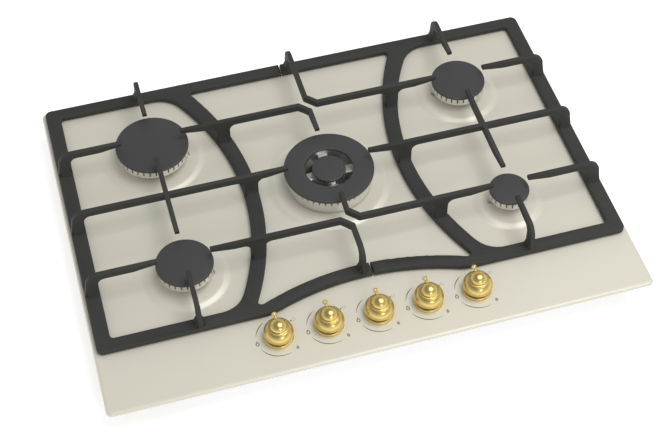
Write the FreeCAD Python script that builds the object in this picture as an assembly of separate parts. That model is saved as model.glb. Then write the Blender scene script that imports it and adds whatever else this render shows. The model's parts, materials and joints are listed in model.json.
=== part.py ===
"""Built-in gas hob: an enamelled plate with five burners, two cast pan supports and five knobs.

Axes: +X right, +Y to the back, +Z up.  Origin: middle of the plate in plan, underside of the tray.
All sizes are in millimetres.
"""
import FreeCAD
import Part

import math
import os

from FreeCAD import Vector

# --- Plate, tray and seal ---------------------------------------------------------------------
PLATE_W = 700.0            # across
PLATE_D = 500.0            # front to back
PLATE_CORNER_R = 8.0
PLATE_T = 1.0              # enamelled steel sheet
PLATE_EDGE_R = 1.6         # rolled top edge
TRAY_DEPTH = 44.0          # tray floor to worktop
PLATE_RISE = 4.0           # worktop to the plate's top
SKIRT_GAP = 0.3            # the plate's skirt stops this far above the worktop
TRAY_W = 540.0
TRAY_D = 460.0
TRAY_CORNER_R = 18.0
TRAY_SLOPE = 14.0          # the front wall's foot stands back by this much
TRAY_T = 1.0
TRAY_FLANGE = 9.0
TRAY_SCREW_R = 1.75
TRAY_SCREW_HEAD_R = 3.2
TRAY_SCREW_HEAD_H = 2.2
CLAMP_HOLE_R = 2.1         # four holes in the tray floor for the worktop clamps
CLAMP_SPAN_X = 500.0
CLAMP_SPAN_Y = 300.0
SEAL_W = 6.0
SEAL_INSET = 2.0           # plate's edge to the seal
POCKET_W = 52.0            # raised corner of the tray over the gas inlet
POCKET_D = 52.0
POCKET_H = 13.0

# --- Burners ----------------------------------------------------------------------------------
SIDE_X = 216.0             # side burners, left and right of the middle
REAR_Y = 128.3
FRONT_Y = -75.3
CENTRE_Y = 23.5
MOUND_H = 2.5              # pressed ring round each burner
MOUND_SLOPE = 11.0
HOLE_LEDGE = 5.0           # plate left under the cup's flange
CUP_STEP = 9.0             # the cup's collar is this much smaller than the cap
CUP_TOP = 12.0             # collar top above the plate
CUP_WALL = 3.0
CUP_FLANGE_T = 2.0
CUP_BOWL_DEPTH = 12.0      # bowl below the plate's top
CUP_FLOOR_T = 3.0
CUP_CLEAR = 0.5            # bowl in the plate's hole
BOSS_R = 9.0
BOSS_BOTTOM = 14.0         # above the tray's underside
EAR_R = 5.0
EAR_REACH = 4.3            # screw centre outside the collar
EAR_ANGLE = -12.0          # degrees from +X
CROWN_TOP = 25.5
CROWN_EDGE = 1.2           # the crown is this much smaller than the cap
CROWN_WALL = 4.0
CROWN_FLOOR_T = 2.2
CROWN_SPIGOT_CLEAR = 0.15
CROWN_SPIGOT_H = 5.0
SLOT_W = 1.7
SLOT_H = 7.5
CAP_T = 3.0
CAP_EDGE_R = 1.3
CAP_RIM_DEPTH = 3.5        # locating rim under a cap
CAP_RIM_T = 2.0
CAP_RIM_CLEAR = 1.5
THROAT_R = 7.5

CENTRE_CROWN_TOP = 26.5
CENTRE_FLANGE_H = 4.0
CENTRE_OPENING_R = 32.0    # hole in the ring cap
CENTRE_INNER_CAP_R = 22.4
CENTRE_BRIDGES = 4
CENTRE_BRIDGE_W = 13.0
CENTRE_BRIDGE_H = 12.5
CENTRE_INNER_DROP = 1.5    # inner cap below the ring cap

M4_R = 2.0
M4_CLEAR = 0.15
M4_HEAD_R = 3.5
M4_HEAD_H = 2.4
M4_LENGTH = 10.0
SINK_SPARE = 0.4           # sunk heads lie this far below their flange's top

ELECTRODE_R = 2.6
ELECTRODE_COLLAR_R = 3.6
PROBE_R = 2.0
PROBE_OFFSET = 4.6         # electrode and probe centres outside the collar
ELECTRODE_ANGLE = 100.0    # degrees from +X
PROBE_ANGLE = 50.0
PROBE_TOP = 9.5            # above the plate
PROBE_DROP = 16.0          # below the plate
INJECTOR_R = 4.0
SOCKET_R = 6.5             # the boss inside the bowl
INJECTOR_H = 12.0
INJECTOR_JET_R = 0.6

# --- Pan supports -----------------------------------------------------------------------------
FRAME_INSET = 5.0          # plate's edge to the frame
FRAME_FRONT_Y = -165.0
FRAME_SIDE_W = 19.5
FRAME_END_W = 17.5
FRAME_BOTTOM = 2.0
FRAME_TOP = 8.5
FRAME_CORNER_R = 8.0
FRAME_EDGE_R = 2.0
WINDOW_CORNER_R = 5.0
ARCH_RISE_Y = -141.5       # front edge of the frame in the middle, over the knobs
ARCH_R = 347.5
ARCH_BLEND_R = 70.0
WAIST_R = 365.0            # the curved inner bands
WAIST_FLAT_R = 400.0       # their edge on the middle window, behind the waist
WAIST_X = 95.5
WAIST_Y = 31.0
WAIST_REAR_R = 39.0
WAIST_FRONT_R = 36.0
SPLIT_X = 11.0
SPLIT_GAP = 2.0
SUPPORT_TOP = 45.5
BAR_W = 6.0
BAR_H = 9.5
BAR_EDGE_R = 1.0
LEG_ROUND = 18.0
LEG_LEAN = 4.0
LEG_STEP = 0.5             # a leg's faces inside the band's edges
LEG_FILLET = 9.0
LEG_FOOT_W = 14.0
LEG_FOOT_H = 9.0
TIP_H = 5.0                # a bar's height at its free end
TIP_TAPER = 30.0           # length over which its underside rises
BEND_LEG = 13.0            # diagonal run where a bar turns towards the middle burner
MIDDLE_BAR_Y = 26.5
CENTRE_TIP_SIDE = 55.0     # finger tips from the middle burner's axis
CENTRE_TIP_END = 56.0
PAD_R = 5.5
PAD_STEM_R = 2.4
PAD_STEM_H = 3.0

# --- Knobs and valves -------------------------------------------------------------------------
KNOB_COUNT = 5
KNOB_PITCH = 64.3
KNOB_ROW_X = 1.8           # middle of the row, right of the plate's middle
KNOB_Y = -196.8
KNOB_PUSH = 2.5
BEZEL_R = 18.8
BEZEL_BORE_R = 12.5
BEZEL_H = 3.8
BEZEL_DISH = 1.8           # depth of the bevel round the bore
BEZEL_DISH_W = 1.0
KNOB_BASE = 6.5            # knob's lower edge above the plate
KNOB_BELLY_R = 18.9
KNOB_LIP_R = 3.3           # rounding below the belly
KNOB_RIM_W = 0.4           # flat of the lower edge
KNOB_BELL_TOP = 20.8       # where the bell ends under the bead
KNOB_BELL_BULGE = 2.15     # rise of the bell's arc over its chord
KNOB_BEAD_R = 13.0
KNOB_BEAD_H = 2.0
KNOB_DOME_R = 11.0
KNOB_DOME_UNDER = 1.0      # the dome is widest this far above the bead
KNOB_SHOULDER_R = 5.0      # rounding of the dome's edge
KNOB_TOP = 31.5
KNOB_WALL = 2.2
KNOB_BOSS_R = 7.0
KNOB_BOSS_DROP = 1.5       # boss below the knob's lower edge
KNOB_SOCKET_H = 13.0
PEG_R = 2.1
PEG_NECK_R = 1.8
PEG_TIP_R = 3.5
PEG_ROOT = 5.5             # from the knob's axis
PEG_REACH = 15.4           # widest part of the tip, from the knob's axis
PEG_DOME = 2.0             # tip beyond its widest part
PEG_Z = 29.0
PEG_RISE = 3.7
PEG_LEAN = 1.3
SPINDLE_R = 4.0
SPINDLE_FLAT = 2.9         # flat's distance from the axis
SPINDLE_FIT = 0.05
SPINDLE_DEPTH = 10.0       # spindle inside the valve's body
SPINDLE_END_GAP = 1.0
SPINDLE_HOLE_R = 6.0
SPINDLE_COLLAR_R = 6.4
SPINDLE_COLLAR_T = 1.5
WASHER_R = 7.0
WASHER_T = 1.0
WASHER_FIT = 0.1
SPRING_WIRE = 0.8
SPRING_R = 5.4
SPRING_TURNS = 3
SPRING_STEPS = 10          # sections in a turn
SPRING_H = 6.0
VALVE_R = 11.0
VALVE_BOTTOM = 14.0
VALVE_BODY_H = 20.0
BONNET_R = 7.8
BONNET_H = 2.0
RAIL_R = 6.5
RAIL_WALL = 1.2
RAIL_Z = 24.0
RAIL_OFFSET = 17.0         # rail's axis in front of the knobs
RAIL_SIDE_X = 250.0
RAIL_BEND_R = 24.0
RAIL_OVERHANG = 18.0
NOSE_R = 5.0
FEED_R = 3.0
FEED_Z = 21.0
FEED_BEND_R = 16.0
FEED_START = 30.0          # straight run at a feed tube's start
FEED_END = 45.0            # and before its burner
FEED_LANE = 35.0           # outside the waist of the curved band
INLET_R = 10.48            # G 1/2 outside thread
INLET_BOTTOM = 2.0
INLET_HOLE_GAP = 1.5       # room for a tube round the thread
INLET_BORE_R = 6.0
ELBOW_R = 13.5
ELBOW_WALL = 2.0
ELBOW_SOCKET = 8.0         # how far the elbow reaches over the rail's end

MODULE_W = 74.0
MODULE_D = 42.0
MODULE_H = 26.0
MODULE_INSET_X = 20.0      # tray wall to the module
MODULE_INSET_Y = 9.0
GLAND_X = -130.0
GLAND_Z = 14.0
GLAND_R = 8.0
GLAND_NECK_R = 6.0
GLAND_BORE_R = 3.6         # for a round mains lead
GLAND_LIP = 2.0
GLAND_NUT = 4.0
STRIP_T = 5.0
STRIP_H = 6.0

# --- Worked out from the sizes above ----------------------------------------------------------
WORKTOP_Z = TRAY_DEPTH
PLATE_Z = WORKTOP_Z + PLATE_RISE
UNDER_Z = PLATE_Z - PLATE_T
MOUND_Z = PLATE_Z + MOUND_H
FRAME_X = PLATE_W / 2 - FRAME_INSET
FRAME_REAR_Y = PLATE_D / 2 - FRAME_INSET
ARCH_Y = ARCH_RISE_Y - ARCH_R
BAR_TOP = PLATE_Z + SUPPORT_TOP
BAR_BOTTOM = BAR_TOP - BAR_H
BAND_TOP = PLATE_Z + FRAME_TOP
BAND_BOTTOM = PLATE_Z + FRAME_BOTTOM


class Burner:
    """One burner: where it stands, how large its cap is and where the finger tips end."""

    def __init__(self, name, x, y, cap_r, slots, tips):
        self.name = name
        self.x = x
        self.y = y
        self.cap_r = cap_r
        self.slots = slots
        self.tip_side, self.tip_rear, self.tip_front = tips
        self.collar_r = cap_r - CUP_STEP
        self.hole_r = self.collar_r - HOLE_LEDGE
        self.mound_in = cap_r + 10.0
        self.mound_out = self.mound_in + MOUND_SLOPE


BURNERS = [
    Burner("front_left", -SIDE_X, FRONT_Y, 36.7, 28, (34.0, 36.8, 26.0)),
    Burner("rear_left", -SIDE_X, REAR_Y, 48.8, 36, (40.0, 40.5, 38.0)),
    Burner("rear_right", SIDE_X, REAR_Y, 37.0, 28, (34.0, 37.5, 35.0)),
    Burner("front_right", SIDE_X, FRONT_Y, 26.2, 20, (24.0, 26.3, 26.0)),
]
CENTRE = Burner("centre", 0.0, CENTRE_Y, 59.8, 44, (CENTRE_TIP_SIDE, CENTRE_TIP_END, CENTRE_TIP_END))
CENTRE.collar_r = CENTRE.cap_r - 3.2
CENTRE.hole_r = CENTRE.collar_r - 9.0
CENTRE.mound_in = CENTRE.cap_r + 13.0
CENTRE.mound_out = CENTRE.mound_in + MOUND_SLOPE
ALL_BURNERS = BURNERS[:2] + [CENTRE] + BURNERS[2:]
KNOB_X = [KNOB_ROW_X + KNOB_PITCH * (i - (KNOB_COUNT - 1) / 2) for i in range(KNOB_COUNT)]


# --- Drawing helpers --------------------------------------------------------------------------
class Outline:
    """A closed outline.  In the upright plane u is X and v is Z; in the flat one v is Y."""

    def __init__(self, u, v, flat=False):
        self.flat = flat
        self.start = self.here = self.point(u, v)
        self.edges = []

    def point(self, u, v):
        return Vector(u, v, 0) if self.flat else Vector(u, 0, v)

    def line(self, u, v):
        end = self.point(u, v)
        self.edges.append(Part.LineSegment(self.here, end).toShape())
        self.here = end
        return self

    def lines(self, *points):
        for u, v in points:
            self.line(u, v)
        return self

    def arc(self, middle, end):
        middle, end = self.point(*middle), self.point(*end)
        self.edges.append(Part.Arc(self.here, middle, end).toShape())
        self.here = end
        return self

    def face(self):
        if self.here.distanceToPoint(self.start) > 1e-6:
            self.edges.append(Part.LineSegment(self.here, self.start).toShape())
        return Part.Face(Part.Wire(self.edges))


def turned(outline, x=0.0, y=0.0):
    """The outline turned round an upright axis at x, y."""
    solid = outline.face().revolve(Vector(0, 0, 0), Vector(0, 0, 1), 360)
    solid.translate(Vector(x, y, 0))
    return solid


def quarter(centre_u, centre_v, radius, side_u, side_v):
    """The middle point of a quarter round whose bulge points to side_u, side_v."""
    half = radius * math.sqrt(0.5)
    return centre_u + side_u * half, centre_v + side_v * half


def cylinder(x, y, z0, z1, radius):
    return Part.makeCylinder(radius, z1 - z0, Vector(x, y, z0))


def tube(x, y, z0, z1, outer, inner):
    return cylinder(x, y, z0, z1, outer).cut(cylinder(x, y, z0, z1, inner))


def box(x0, x1, y0, y1, z0, z1):
    return Part.makeBox(x1 - x0, y1 - y0, z1 - z0, Vector(x0, y0, z0))


def upright_edges(solid, picked):
    """The straight upright edges of a prism whose plan position satisfies picked(x, y)."""
    found = []
    for edge in solid.Edges:
        a, b = edge.Vertexes[0].Point, edge.Vertexes[-1].Point
        if abs(a.x - b.x) < 1e-6 and abs(a.y - b.y) < 1e-6 and abs(a.z - b.z) > 1e-6 and picked(a.x, a.y):
            found.append(edge)
    return found


def rounded_box(width, depth, z0, z1, corner_r):
    """A box centred in plan, with its upright edges rounded."""
    solid = box(-width / 2, width / 2, -depth / 2, depth / 2, z0, z1)
    return solid.makeFillet(corner_r, upright_edges(solid, lambda x, y: True))


def rounded_wire(x0, x1, y0, y1, z, r):
    """A level rectangle with round corners."""
    shape = Outline(x0 + r, y0, flat=True).line(x1 - r, y0)
    shape.arc(quarter(x1 - r, y0 + r, r, 1, -1), (x1, y0 + r)).line(x1, y1 - r)
    shape.arc(quarter(x1 - r, y1 - r, r, 1, 1), (x1 - r, y1)).line(x0 + r, y1)
    shape.arc(quarter(x0 + r, y1 - r, r, -1, 1), (x0, y1 - r)).line(x0, y0 + r)
    shape.arc(quarter(x0 + r, y0 + r, r, -1, -1), (x0 + r, y0))
    wire = Part.Wire(shape.edges)
    wire.translate(Vector(0, 0, z))
    return wire


def level_edges(solid, z):
    """The edges that lie wholly at height z."""
    return [e for e in solid.Edges if abs(e.BoundBox.ZMin - z) < 1e-4 and abs(e.BoundBox.ZMax - z) < 1e-4]


def fused(shapes):
    return shapes[0].multiFuse(shapes[1:]).removeSplitter()


def bent_rod(points, radius, bend_r):
    """A round rod along straight runs joined by tangent bends."""
    pieces = []
    here = points[0]
    for before, corner, after in zip(points, points[1:], points[2:]):
        to_corner = (corner - before).normalize()
        from_corner = (after - corner).normalize()
        turn = to_corner.getAngle(from_corner)
        reach = bend_r * math.tan(turn / 2)
        start = corner - to_corner * reach
        axis = to_corner.cross(from_corner).normalize()
        centre = start + axis.cross(to_corner).normalize() * bend_r
        disc = Part.Face(Part.Wire(Part.Circle(start, to_corner, radius).toShape()))
        pieces.append(Part.makeCylinder(radius, (start - here).Length, here, to_corner))
        pieces.append(disc.revolve(centre, axis, math.degrees(turn)))
        here = corner + from_corner * reach
    last = points[-1] - here
    pieces.append(Part.makeCylinder(radius, last.Length, here, last))
    return fused(pieces)


def save(node, shape):
    shape.exportStep(os.path.join("parts", node + ".step"))
    print("%-24s solids %2d  volume %12.1f  %s" % (node, len(shape.Solids), shape.Volume, shape.isValid()))


# --- Plate, tray and seal ---------------------------------------------------------------------
def mound_sheet(burner):
    """The pressed ring round a burner: a flat ledge and the slope down to the plate."""
    inside, outside, hole = burner.mound_in, burner.mound_out, burner.hole_r
    shape = Outline(hole, MOUND_Z).lines(
        (inside, MOUND_Z), (outside, PLATE_Z), (outside, UNDER_Z), (inside, MOUND_Z - PLATE_T),
        (hole, MOUND_Z - PLATE_T))
    return turned(shape, burner.x, burner.y)


def around(burner, radius, degrees):
    """A plan point at radius from the burner's axis."""
    angle = math.radians(degrees)
    return burner.x + radius * math.cos(angle), burner.y + radius * math.sin(angle)


def screw_points(burner):
    """The cup's screws: in two ears on a side burner, sunk in the flange of the middle one."""
    if burner is CENTRE:
        middle = (burner.hole_r + burner.collar_r) / 2
        return [around(burner, middle, EAR_ANGLE + 120 * i) for i in range(3)]
    return [around(burner, burner.collar_r + EAR_REACH, EAR_ANGLE + 180 * i) for i in range(2)]


def screw_seat(burner):
    """Height that the screw heads bear on."""
    return MOUND_Z + (CENTRE_FLANGE_H - M4_HEAD_H - SINK_SPARE if burner is CENTRE else CUP_FLANGE_T)


def probe_reach(burner):
    """Distance of the electrode and the thermocouple from the burner's axis."""
    return PROBE_OFFSET + (burner.cap_r if burner is CENTRE else burner.collar_r)


def electrode_point(burner):
    return around(burner, probe_reach(burner), ELECTRODE_ANGLE)


def probe_point(burner):
    return around(burner, probe_reach(burner), PROBE_ANGLE)


def top_panel():
    outer = rounded_box(PLATE_W, PLATE_D, WORKTOP_Z + SKIRT_GAP, PLATE_Z, PLATE_CORNER_R)
    outer = outer.makeFillet(PLATE_EDGE_R, level_edges(outer, PLATE_Z))
    inner = rounded_box(PLATE_W - 2 * PLATE_T, PLATE_D - 2 * PLATE_T, WORKTOP_Z, UNDER_Z,
                        PLATE_CORNER_R - PLATE_T)
    panel = outer.cut(inner)
    panel = panel.cut([cylinder(b.x, b.y, WORKTOP_Z, BAR_TOP, b.mound_out) for b in ALL_BURNERS])
    panel = fused([panel] + [mound_sheet(b) for b in ALL_BURNERS])
    holes = [cylinder(x, KNOB_Y, WORKTOP_Z, PLATE_Z + 1, SPINDLE_HOLE_R) for x in KNOB_X]
    for burner in ALL_BURNERS:
        x, y = electrode_point(burner)
        holes.append(cylinder(x, y, WORKTOP_Z, MOUND_Z + 1, ELECTRODE_R + M4_CLEAR))
        x, y = probe_point(burner)
        holes.append(cylinder(x, y, WORKTOP_Z, MOUND_Z + 1, PROBE_R + M4_CLEAR))
        for x, y in screw_points(burner):
            holes.append(cylinder(x, y, WORKTOP_Z, MOUND_Z + 1, M4_R + M4_CLEAR))
    return panel.cut(holes)


def tray_screw_points():
    x = TRAY_W / 2 + TRAY_FLANGE / 2
    y = TRAY_D / 2 + TRAY_FLANGE / 2
    return [(sx * x, sy * TRAY_D / 4) for sx in (-1, 1) for sy in (-1, 1)] + \
           [(sx * TRAY_W / 4, sy * y) for sx in (-1, 1) for sy in (-1, 1)]


def inlet_point():
    return RAIL_SIDE_X, TRAY_D / 2 - POCKET_D / 2


def tub_block(wall, z0, z1):
    """The tray's body between two heights, set in by wall; its front wall slopes back downwards."""
    wires = []
    for z in (z0, z1):
        front = -TRAY_D / 2 + TRAY_SLOPE * (1 - z / UNDER_Z)
        wires.append(rounded_wire(-TRAY_W / 2 + wall, TRAY_W / 2 - wall, front + wall, TRAY_D / 2 - wall, z,
                                  TRAY_CORNER_R - wall))
    return Part.makeLoft(wires, True, True)


def bottom_tray():
    flange = rounded_box(TRAY_W + 2 * TRAY_FLANGE, TRAY_D + 2 * TRAY_FLANGE, UNDER_Z - TRAY_T, UNDER_Z,
                         TRAY_CORNER_R + TRAY_FLANGE)
    tub = tub_block(0, 0, UNDER_Z)
    hollow = tub_block(TRAY_T, TRAY_T, UNDER_Z + 1)
    x0, y0 = TRAY_W / 2 - POCKET_W, TRAY_D / 2 - POCKET_D
    pocket = box(x0, TRAY_W, y0, TRAY_D, -1, POCKET_H)
    hollow = hollow.cut(box(x0 - TRAY_T, TRAY_W, y0 - TRAY_T, TRAY_D, -1, POCKET_H + TRAY_T))
    tray = fused([flange, tub]).cut(hollow).cut(pocket)
    holes = [cylinder(*inlet_point(), 0, POCKET_H + TRAY_T + 1, INLET_R + INLET_HOLE_GAP)]
    for sx in (-1, 1):
        for sy in (-1, 1):
            holes.append(cylinder(sx * CLAMP_SPAN_X / 2, sy * CLAMP_SPAN_Y / 2, -1, TRAY_T + 1, CLAMP_HOLE_R))
    holes += [cylinder(x, y, UNDER_Z - 2, UNDER_Z + 1, TRAY_SCREW_R) for x, y in tray_screw_points()]
    holes.append(Part.makeCylinder(GLAND_NECK_R, TRAY_T + 2, Vector(GLAND_X, TRAY_D / 2 - TRAY_T - 1, GLAND_Z),
                                   Vector(0, 1, 0)))
    return tray.cut(holes)


def tray_screws():
    screws = []
    for x, y in tray_screw_points():
        head = cylinder(x, y, UNDER_Z - TRAY_T - TRAY_SCREW_HEAD_H, UNDER_Z - TRAY_T, TRAY_SCREW_HEAD_R)
        screws.append(fused([head, cylinder(x, y, UNDER_Z - TRAY_T - 1, UNDER_Z, TRAY_SCREW_R)]))
    return Part.makeCompound(screws)


def rim_seal():
    side = PLATE_T + SEAL_INSET
    outer = rounded_box(PLATE_W - 2 * side, PLATE_D - 2 * side, WORKTOP_Z, UNDER_Z, PLATE_CORNER_R)
    side += SEAL_W
    inner = rounded_box(PLATE_W - 2 * side, PLATE_D - 2 * side, WORKTOP_Z, UNDER_Z, PLATE_CORNER_R / 2)
    return outer.cut(inner)


# --- Burners ----------------------------------------------------------------------------------
def cup(burner):
    """A side burner's cast cup: collar, flange with two ears, bowl and injector boss."""
    collar, bowl = burner.collar_r, burner.hole_r - CUP_CLEAR
    top = PLATE_Z + CUP_TOP
    flange_top = MOUND_Z + CUP_FLANGE_T
    floor = PLATE_Z - CUP_BOWL_DEPTH
    shape = Outline(collar, MOUND_Z).lines(
        (collar, top), (collar - CUP_WALL, top), (collar - CUP_WALL, flange_top),
        (bowl - CUP_WALL, flange_top), (bowl - CUP_WALL, floor), (SOCKET_R, floor),
        (SOCKET_R, BOSS_BOTTOM + INJECTOR_H), (INJECTOR_R, BOSS_BOTTOM + INJECTOR_H),
        (INJECTOR_R, BOSS_BOTTOM), (BOSS_R, BOSS_BOTTOM), (BOSS_R, floor - CUP_FLOOR_T),
        (bowl, floor - CUP_FLOOR_T), (bowl, MOUND_Z))
    pieces = [turned(shape, burner.x, burner.y)]
    inside = cylinder(burner.x, burner.y, MOUND_Z, top, collar - CUP_WALL / 2)
    for x, y in screw_points(burner):
        pieces.append(cylinder(x, y, MOUND_Z, flange_top, EAR_R).cut(inside))
    body = fused(pieces)
    return body.cut([cylinder(x, y, MOUND_Z - 1, flange_top + 1, M4_R + M4_CLEAR)
                     for x, y in screw_points(burner)])


def centre_cup():
    burner = CENTRE
    bowl = burner.hole_r - CUP_CLEAR
    top = MOUND_Z + CENTRE_FLANGE_H
    floor = PLATE_Z - CUP_BOWL_DEPTH
    shape = Outline(burner.collar_r, MOUND_Z).lines(
        (burner.collar_r, top), (bowl - CUP_WALL, top), (bowl - CUP_WALL, floor), (SOCKET_R, floor),
        (SOCKET_R, BOSS_BOTTOM + INJECTOR_H), (INJECTOR_R, BOSS_BOTTOM + INJECTOR_H),
        (INJECTOR_R, BOSS_BOTTOM), (BOSS_R, BOSS_BOTTOM), (BOSS_R, floor - CUP_FLOOR_T),
        (bowl, floor - CUP_FLOOR_T), (bowl, MOUND_Z))
    body = turned(shape, burner.x, burner.y)
    holes = [cylinder(x, y, MOUND_Z - 1, top + 1, M4_R + M4_CLEAR) for x, y in screw_points(burner)]
    sinks = [cylinder(x, y, screw_seat(burner), top + 1, M4_HEAD_R + M4_CLEAR) for x, y in screw_points(burner)]
    return body.cut(holes + sinks)


def flame_slots(burner, radius, wall, top, count):
    """Radial slots through the upper part of a crown's wall."""
    blank = box(radius - wall - 1, radius + 1, -SLOT_W / 2, SLOT_W / 2, top - SLOT_H, top + 1)
    slots = []
    for i in range(count):
        slot = blank.copy()
        slot.rotate(Vector(0, 0, 0), Vector(0, 0, 1), 360.0 * (i + 0.5) / count)
        slot.translate(Vector(burner.x, burner.y, 0))
        slots.append(slot)
    return slots


def crown(burner):
    """A side burner's flame crown: spigot in the cup, floor with the throat and a slotted wall."""
    outer = burner.cap_r - CROWN_EDGE
    inner = outer - CROWN_WALL
    spigot = burner.collar_r - CUP_WALL - CROWN_SPIGOT_CLEAR
    seat, top = PLATE_Z + CUP_TOP, PLATE_Z + CROWN_TOP
    low = seat - CROWN_SPIGOT_H
    shape = Outline(THROAT_R, low).lines(
        (THROAT_R, seat + CROWN_FLOOR_T), (inner, seat + CROWN_FLOOR_T + 1), (inner, top), (outer, top),
        (outer, seat + CROWN_FLOOR_T), (burner.collar_r, seat), (spigot, seat), (spigot, low),
        (spigot - 2, low), (spigot - 2, seat - 1), (THROAT_R + 2, seat - 1), (THROAT_R + 2, low))
    return turned(shape, burner.x, burner.y).cut(flame_slots(burner, outer, CROWN_WALL, top, burner.slots))


def centre_crown():
    """The middle burner's crown: a ring chamber, an inner ring and the bridges between them."""
    burner = CENTRE
    seat, top = MOUND_Z + CENTRE_FLANGE_H, PLATE_Z + CENTRE_CROWN_TOP
    outer = burner.collar_r
    ring_in = CENTRE_OPENING_R + 1.5
    floor = seat + CROWN_FLOOR_T + 1
    spigot = burner.hole_r - CUP_CLEAR - CUP_WALL - CROWN_SPIGOT_CLEAR
    ring = Outline(outer, seat).lines(
        (outer, top), (outer - CROWN_WALL, top), (outer - CROWN_WALL, floor), (ring_in + 3, floor),
        (ring_in + 3, top), (ring_in, top), (ring_in, seat - 2), (spigot, seat - 2), (spigot, seat))
    core_r = CENTRE_INNER_CAP_R - 1
    core_top = top - CENTRE_INNER_DROP
    core = Outline(THROAT_R, seat - 2).lines(
        (THROAT_R, floor + 4), (core_r - 3, floor + 4), (core_r - 3, core_top), (core_r, core_top),
        (core_r, seat - 2))
    bridges = []
    for i in range(CENTRE_BRIDGES):
        bridge = box(core_r - 1, ring_in + 1, -CENTRE_BRIDGE_W / 2, CENTRE_BRIDGE_W / 2, seat - 2,
                     seat + CENTRE_BRIDGE_H)
        bridge.rotate(Vector(0, 0, 0), Vector(0, 0, 1), 360.0 * i / CENTRE_BRIDGES)
        bridge.translate(Vector(burner.x, burner.y, 0))
        bridges.append(bridge)
    body = fused([turned(ring, burner.x, burner.y), turned(core, burner.x, burner.y)] + bridges)
    slots = flame_slots(burner, outer, CROWN_WALL, top, burner.slots)
    slots += flame_slots(burner, core_r, 3.0, core_top, 16)
    return body.cut(slots)


def cap(burner):
    radius = burner.cap_r
    low, top = PLATE_Z + CROWN_TOP, PLATE_Z + CROWN_TOP + CAP_T
    rim_out = radius - CROWN_EDGE - CROWN_WALL - CAP_RIM_CLEAR
    rim_in = rim_out - CAP_RIM_T
    shape = Outline(0, top).line(radius - CAP_EDGE_R, top)
    shape.arc(quarter(radius - CAP_EDGE_R, top - CAP_EDGE_R, CAP_EDGE_R, 1, 1), (radius, top - CAP_EDGE_R))
    shape.lines((radius, low), (rim_out, low), (rim_out, low - CAP_RIM_DEPTH), (rim_in, low - CAP_RIM_DEPTH),
                (rim_in, low), (0, low))
    return turned(shape, burner.x, burner.y)


def ring_cap():
    radius, hole = CENTRE.cap_r, CENTRE_OPENING_R
    low = PLATE_Z + CENTRE_CROWN_TOP
    top = low + CAP_T
    rim_out = CENTRE.collar_r - CROWN_WALL - CAP_RIM_CLEAR
    rim_in = rim_out - CAP_RIM_T
    shape = Outline(hole + CAP_EDGE_R, top).line(radius - CAP_EDGE_R, top)
    shape.arc(quarter(radius - CAP_EDGE_R, top - CAP_EDGE_R, CAP_EDGE_R, 1, 1), (radius, top - CAP_EDGE_R))
    shape.lines((radius, low), (rim_out, low), (rim_out, low - CAP_RIM_DEPTH), (rim_in, low - CAP_RIM_DEPTH),
                (rim_in, low), (hole, low), (hole, top - CAP_EDGE_R))
    shape.arc(quarter(hole + CAP_EDGE_R, top - CAP_EDGE_R, CAP_EDGE_R, -1, 1), (hole + CAP_EDGE_R, top))
    return turned(shape, CENTRE.x, CENTRE.y)


def inner_cap():
    radius = CENTRE_INNER_CAP_R
    low = PLATE_Z + CENTRE_CROWN_TOP - CENTRE_INNER_DROP
    top = low + CAP_T
    rim_out = radius - 1 - 3.0 - CAP_RIM_CLEAR
    shape = Outline(0, top).line(radius - CAP_EDGE_R, top)
    shape.arc(quarter(radius - CAP_EDGE_R, top - CAP_EDGE_R, CAP_EDGE_R, 1, 1), (radius, top - CAP_EDGE_R))
    shape.lines((radius, low), (rim_out, low), (rim_out, low - CAP_RIM_DEPTH),
                (rim_out - CAP_RIM_T, low - CAP_RIM_DEPTH), (rim_out - CAP_RIM_T, low), (0, low))
    return turned(shape, CENTRE.x, CENTRE.y)


def burner_screws():
    screws = []
    for burner in ALL_BURNERS:
        seat = screw_seat(burner)
        for x, y in screw_points(burner):
            head = cylinder(x, y, seat, seat + M4_HEAD_H, M4_HEAD_R)
            screws.append(fused([head, cylinder(x, y, seat - M4_LENGTH, seat + 1, M4_R)]))
    return Part.makeCompound(screws)


def electrodes():
    """Ceramic spark plugs, each with a collar on the plate and a wire towards the crown."""
    made = []
    for burner in ALL_BURNERS:
        x, y = electrode_point(burner)
        body = cylinder(x, y, PLATE_Z - PROBE_DROP, PLATE_Z + PROBE_TOP - 2, ELECTRODE_R)
        collar = cylinder(x, y, MOUND_Z, MOUND_Z + 1.5, ELECTRODE_COLLAR_R)
        wire = cylinder(x, y, PLATE_Z - PROBE_DROP - 4, PLATE_Z + PROBE_TOP, 0.8)
        made.append(fused([body, collar, wire]))
    return Part.makeCompound(made)


def thermocouples():
    made = []
    for burner in ALL_BURNERS:
        x, y = probe_point(burner)
        rod = cylinder(x, y, PLATE_Z - PROBE_DROP, PLATE_Z + PROBE_TOP, PROBE_R)
        rod = rod.makeChamfer(PROBE_R / 2, level_edges(rod, PLATE_Z + PROBE_TOP))
        made.append(fused([rod, cylinder(x, y, MOUND_Z, MOUND_Z + 1.2, PROBE_R + 1.0)]))
    return Part.makeCompound(made)


def injectors():
    made = []
    for burner in ALL_BURNERS:
        nozzle = cylinder(burner.x, burner.y, BOSS_BOTTOM, BOSS_BOTTOM + INJECTOR_H, INJECTOR_R)
        jet = cylinder(burner.x, burner.y, FEED_Z, BOSS_BOTTOM + INJECTOR_H + 1, INJECTOR_JET_R)
        made.append(nozzle.cut(jet))
    return Part.makeCompound(made)


# --- Pan supports -----------------------------------------------------------------------------
def waist_disc(side, radius):
    """The round whose edge is one side of a curved inner band."""
    return cylinder(side * (WAIST_X + WAIST_R), WAIST_Y, BAND_BOTTOM - 1, BAND_TOP + 1, radius)


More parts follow.
